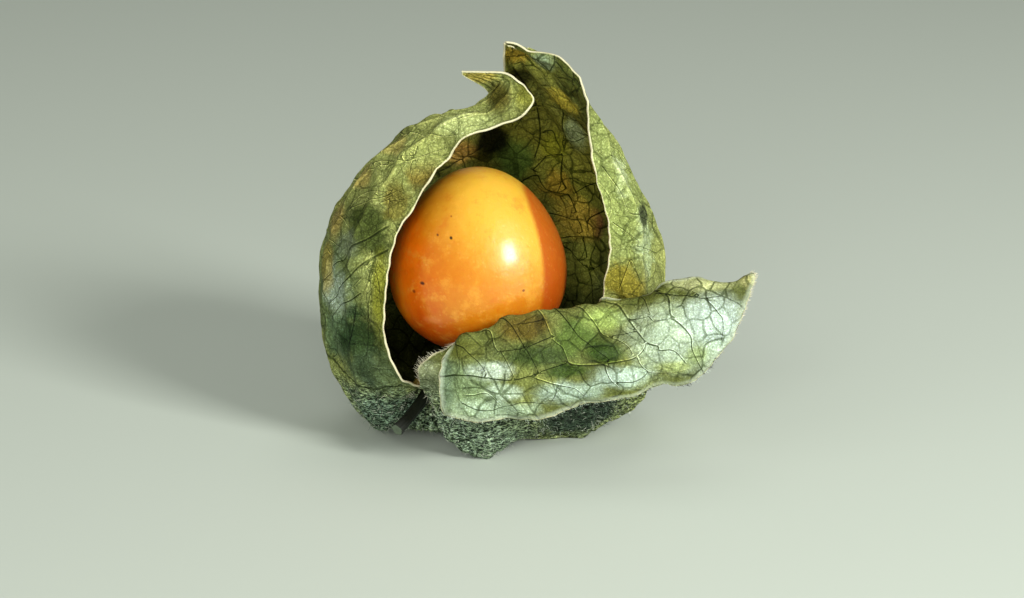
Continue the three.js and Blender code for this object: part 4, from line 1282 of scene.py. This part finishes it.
CAMERA_LOOKS_AT = here(3.6, -1.2, 15.1)
CAMERA_DISTANCE = 0.32
CAMERA_HEIGHT = math.radians(18.0)
SENSOR_WIDTH = 36.0       # of the camera, in mm
PIXELS_PER_MM = 9.42
PHOTO_WIDTH = 1024
LIGHTS_LOOK_AT = here(2, 0, 18)
FLOOR_REACH = 3.0


class PhysalisHuskSettings(bpy.types.PropertyGroup):
    """Sizes of the husk."""
    sheet_thickness: bpy.props.FloatProperty(
        name="Sheet thickness", description="Thickness of the dry leaf", default=0.0002, unit="LENGTH")
    cell_size: bpy.props.FloatProperty(
        name="Net cell size", description="Width of the cells between the fine veins", default=0.0024,
        unit="LENGTH")
    puff_height: bpy.props.FloatProperty(
        name="Cell puff", description="How far the cells bulge through the leaf", default=0.0001,
        unit="LENGTH")
    rib_height: bpy.props.FloatProperty(
        name="Rib height", description="How far the main ribs stand out of each face", default=0.00016,
        unit="LENGTH")
    keel_height: bpy.props.FloatProperty(
        name="Keel height", description="How far the sheet folds outwards along the main ribs",
        default=0.0003, unit="LENGTH")
    pleat_height: bpy.props.FloatProperty(
        name="Pleat height", description="Small pleats that run together at the stalk", default=0.00018,
        unit="LENGTH")
    edge_jag: bpy.props.FloatProperty(
        name="Edge jag", description="How far the torn edges stray", default=0.0001, unit="LENGTH")
    felt_hairs: bpy.props.IntProperty(
        name="Felt hairs", description="Number of hairs under the base", default=2600)
    hair_radius: bpy.props.FloatProperty(
        name="Hair radius", description="Radius of a hair at its root", default=0.00003, unit="LENGTH")
    edge_ruffle: bpy.props.FloatProperty(
        name="Edge ruffle", description="Small waves along the torn edges", default=0.00013, unit="LENGTH")
    wrinkle: bpy.props.FloatProperty(
        name="Wrinkle", description="Small wrinkles all over the leaf", default=0.00009, unit="LENGTH")


class PhysalisBerrySettings(bpy.types.PropertyGroup):
    """Colours of the berry."""
    deep_colour: bpy.props.FloatVectorProperty(
        name="Deep colour", description="The redder orange of the skin", subtype="COLOR", size=4,
        min=0.0, max=1.0, default=linear(196, 100, 2))
    bright_colour: bpy.props.FloatVectorProperty(
        name="Bright colour", description="The yellower orange of the skin", subtype="COLOR", size=4,
        min=0.0, max=1.0, default=linear(200, 134, 18))


class PhysalisStageSettings(bpy.types.PropertyGroup):
    """The floor's colour and the lights."""
    floor_colour: bpy.props.FloatVectorProperty(
        name="Floor colour", description="Plain pale floor", subtype="COLOR", size=4,
        min=0.0, max=1.0, default=linear(190, 198, 184))
    key_power: bpy.props.FloatProperty(
        name="Key light", description="Power of the main soft light", default=2.3, unit="POWER")
    front_power: bpy.props.FloatProperty(
        name="Front light", description="Power of the soft light into the husk", default=2.0, unit="POWER")
    fill_power: bpy.props.FloatProperty(
        name="Fill light", description="Power of the soft light from the left", default=1.0, unit="POWER")
    top_power: bpy.props.FloatProperty(
        name="Top light", description="Power of the light from above", default=0.7, unit="POWER")
    room_light: bpy.props.FloatProperty(
        name="Room light", description="Strength of the even light all round", default=0.2)


class PHYSALIS_OT_husk(bpy.types.Operator):
    """Make the torn papery husk."""
    bl_idname = "physalis.husk"
    bl_label = "Husk"

    def execute(self, context):
        husk, hairs = build_husk(context.scene.physalis_husk)
        for piece in (husk, hairs):
            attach(piece, "root")
        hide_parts("husk")
        return {"FINISHED"}


class PHYSALIS_OT_berry(bpy.types.Operator):
    """Make the glossy berry."""
    bl_idname = "physalis.berry"
    bl_label = "Berry"

    def execute(self, context):
        berry = build_berry(context.scene.physalis_berry)
        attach(berry, "root")
        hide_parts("berry")
        return {"FINISHED"}


class PHYSALIS_OT_stalk(bpy.types.Operator):
    """Make the short dry stalk."""
    bl_idname = "physalis.stalk"
    bl_label = "Stalk"

    def execute(self, context):
        stalk = build_stalk()
        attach(stalk, "root")
        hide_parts("stem")
        return {"FINISHED"}


class PHYSALIS_OT_stage(bpy.types.Operator):
    """Set the pale floor, the soft lights and the camera."""
    bl_idname = "physalis.stage"
    bl_label = "Stage"

    def execute(self, context):
        settings = context.scene.physalis_stage
        mesh = bpy.data.meshes.new("floor")
        corners = [(FLOOR_REACH * x, FLOOR_REACH * y, 0) for x, y in ((-1, -1), (1, -1), (1, 1), (-1, 1))]
        mesh.from_pydata(corners, [], [(0, 1, 2, 3)])
        floor = show("floor", mesh)
        material, tree, shader = start_material("Pale floor")
        fill(tree, shader, {"Base Color": tuple(settings.floor_colour), "Roughness": 0.7})
        mesh.materials.append(material)

        for name, way, distance, size, power in (
                ("key", (0.66, -0.60, 0.46), 0.45, 0.13, settings.key_power),
                ("front", (-0.14, -0.93, 0.32), 0.55, 0.3, settings.front_power),
                ("fill", (-0.7, -0.5, 0.5), 0.7, 0.5, settings.fill_power),
                ("top", (0.05, 0.35, 0.93), 0.6, 0.35, settings.top_power)):
            place = Vector(LIGHTS_LOOK_AT) + distance * Vector(way).normalized()
            light = area_light(name, place, LIGHTS_LOOK_AT, size, power)
            light.visible_glossy = name == "key"
        world = bpy.data.worlds.new("Soft studio")
        context.scene.world = world
        world.use_nodes = True
        fill(world.node_tree, world.node_tree.nodes["Background"], {
            "Color": linear(226, 232, 226), "Strength": settings.room_light})

        data = bpy.data.cameras.new("camera")
        data.sensor_width = SENSOR_WIDTH
        data.lens = SENSOR_WIDTH * PIXELS_PER_MM * CAMERA_DISTANCE / MM / PHOTO_WIDTH
        data.clip_start = 0.01
        camera = show("camera", data)
        back = Vector((0.0, -math.cos(CAMERA_HEIGHT), math.sin(CAMERA_HEIGHT)))
        camera.location = Vector(CAMERA_LOOKS_AT) + CAMERA_DISTANCE * back
        aim(camera, CAMERA_LOOKS_AT)
        context.scene.camera = camera
        context.scene.view_settings.view_transform = "Standard"
        return {"FINISHED"}


OPERATORS = [PHYSALIS_OT_husk, PHYSALIS_OT_berry, PHYSALIS_OT_stalk, PHYSALIS_OT_stage]


class PHYSALIS_PT_panel(bpy.types.Panel):
    """The steps that make the berry and its stage."""
    bl_label = "Physalis"
    bl_idname = "PHYSALIS_PT_panel"
    bl_space_type = "VIEW_3D"
    bl_region_type = "UI"
    bl_category = "Physalis"

    def draw(self, context):
        scene = context.scene
        for settings in (scene.physalis_husk, scene.physalis_berry, scene.physalis_stage):
            for name in settings.__annotations__:
                self.layout.prop(settings, name)
        for operator in OPERATORS:
            self.layout.operator(operator.bl_idname)


CLASSES = [PhysalisHuskSettings, PhysalisBerrySettings, PhysalisStageSettings, *OPERATORS, PHYSALIS_PT_panel]


def register():
    for cls in CLASSES:
        bpy.utils.register_class(cls)
    bpy.types.Scene.physalis_husk = bpy.props.PointerProperty(type=PhysalisHuskSettings)
    bpy.types.Scene.physalis_berry = bpy.props.PointerProperty(type=PhysalisBerrySettings)
    bpy.types.Scene.physalis_stage = bpy.props.PointerProperty(type=PhysalisStageSettings)


def unregister():
    del bpy.types.Scene.physalis_stage
    del bpy.types.Scene.physalis_berry
    del bpy.types.Scene.physalis_husk
    for cls in reversed(CLASSES):
        bpy.utils.unregister_class(cls)


def main():
    register()
    bpy.ops.physalis.husk()
    bpy.ops.physalis.berry()
    bpy.ops.physalis.stalk()
    bpy.ops.physalis.stage()


if __name__ == "__main__":
    main()
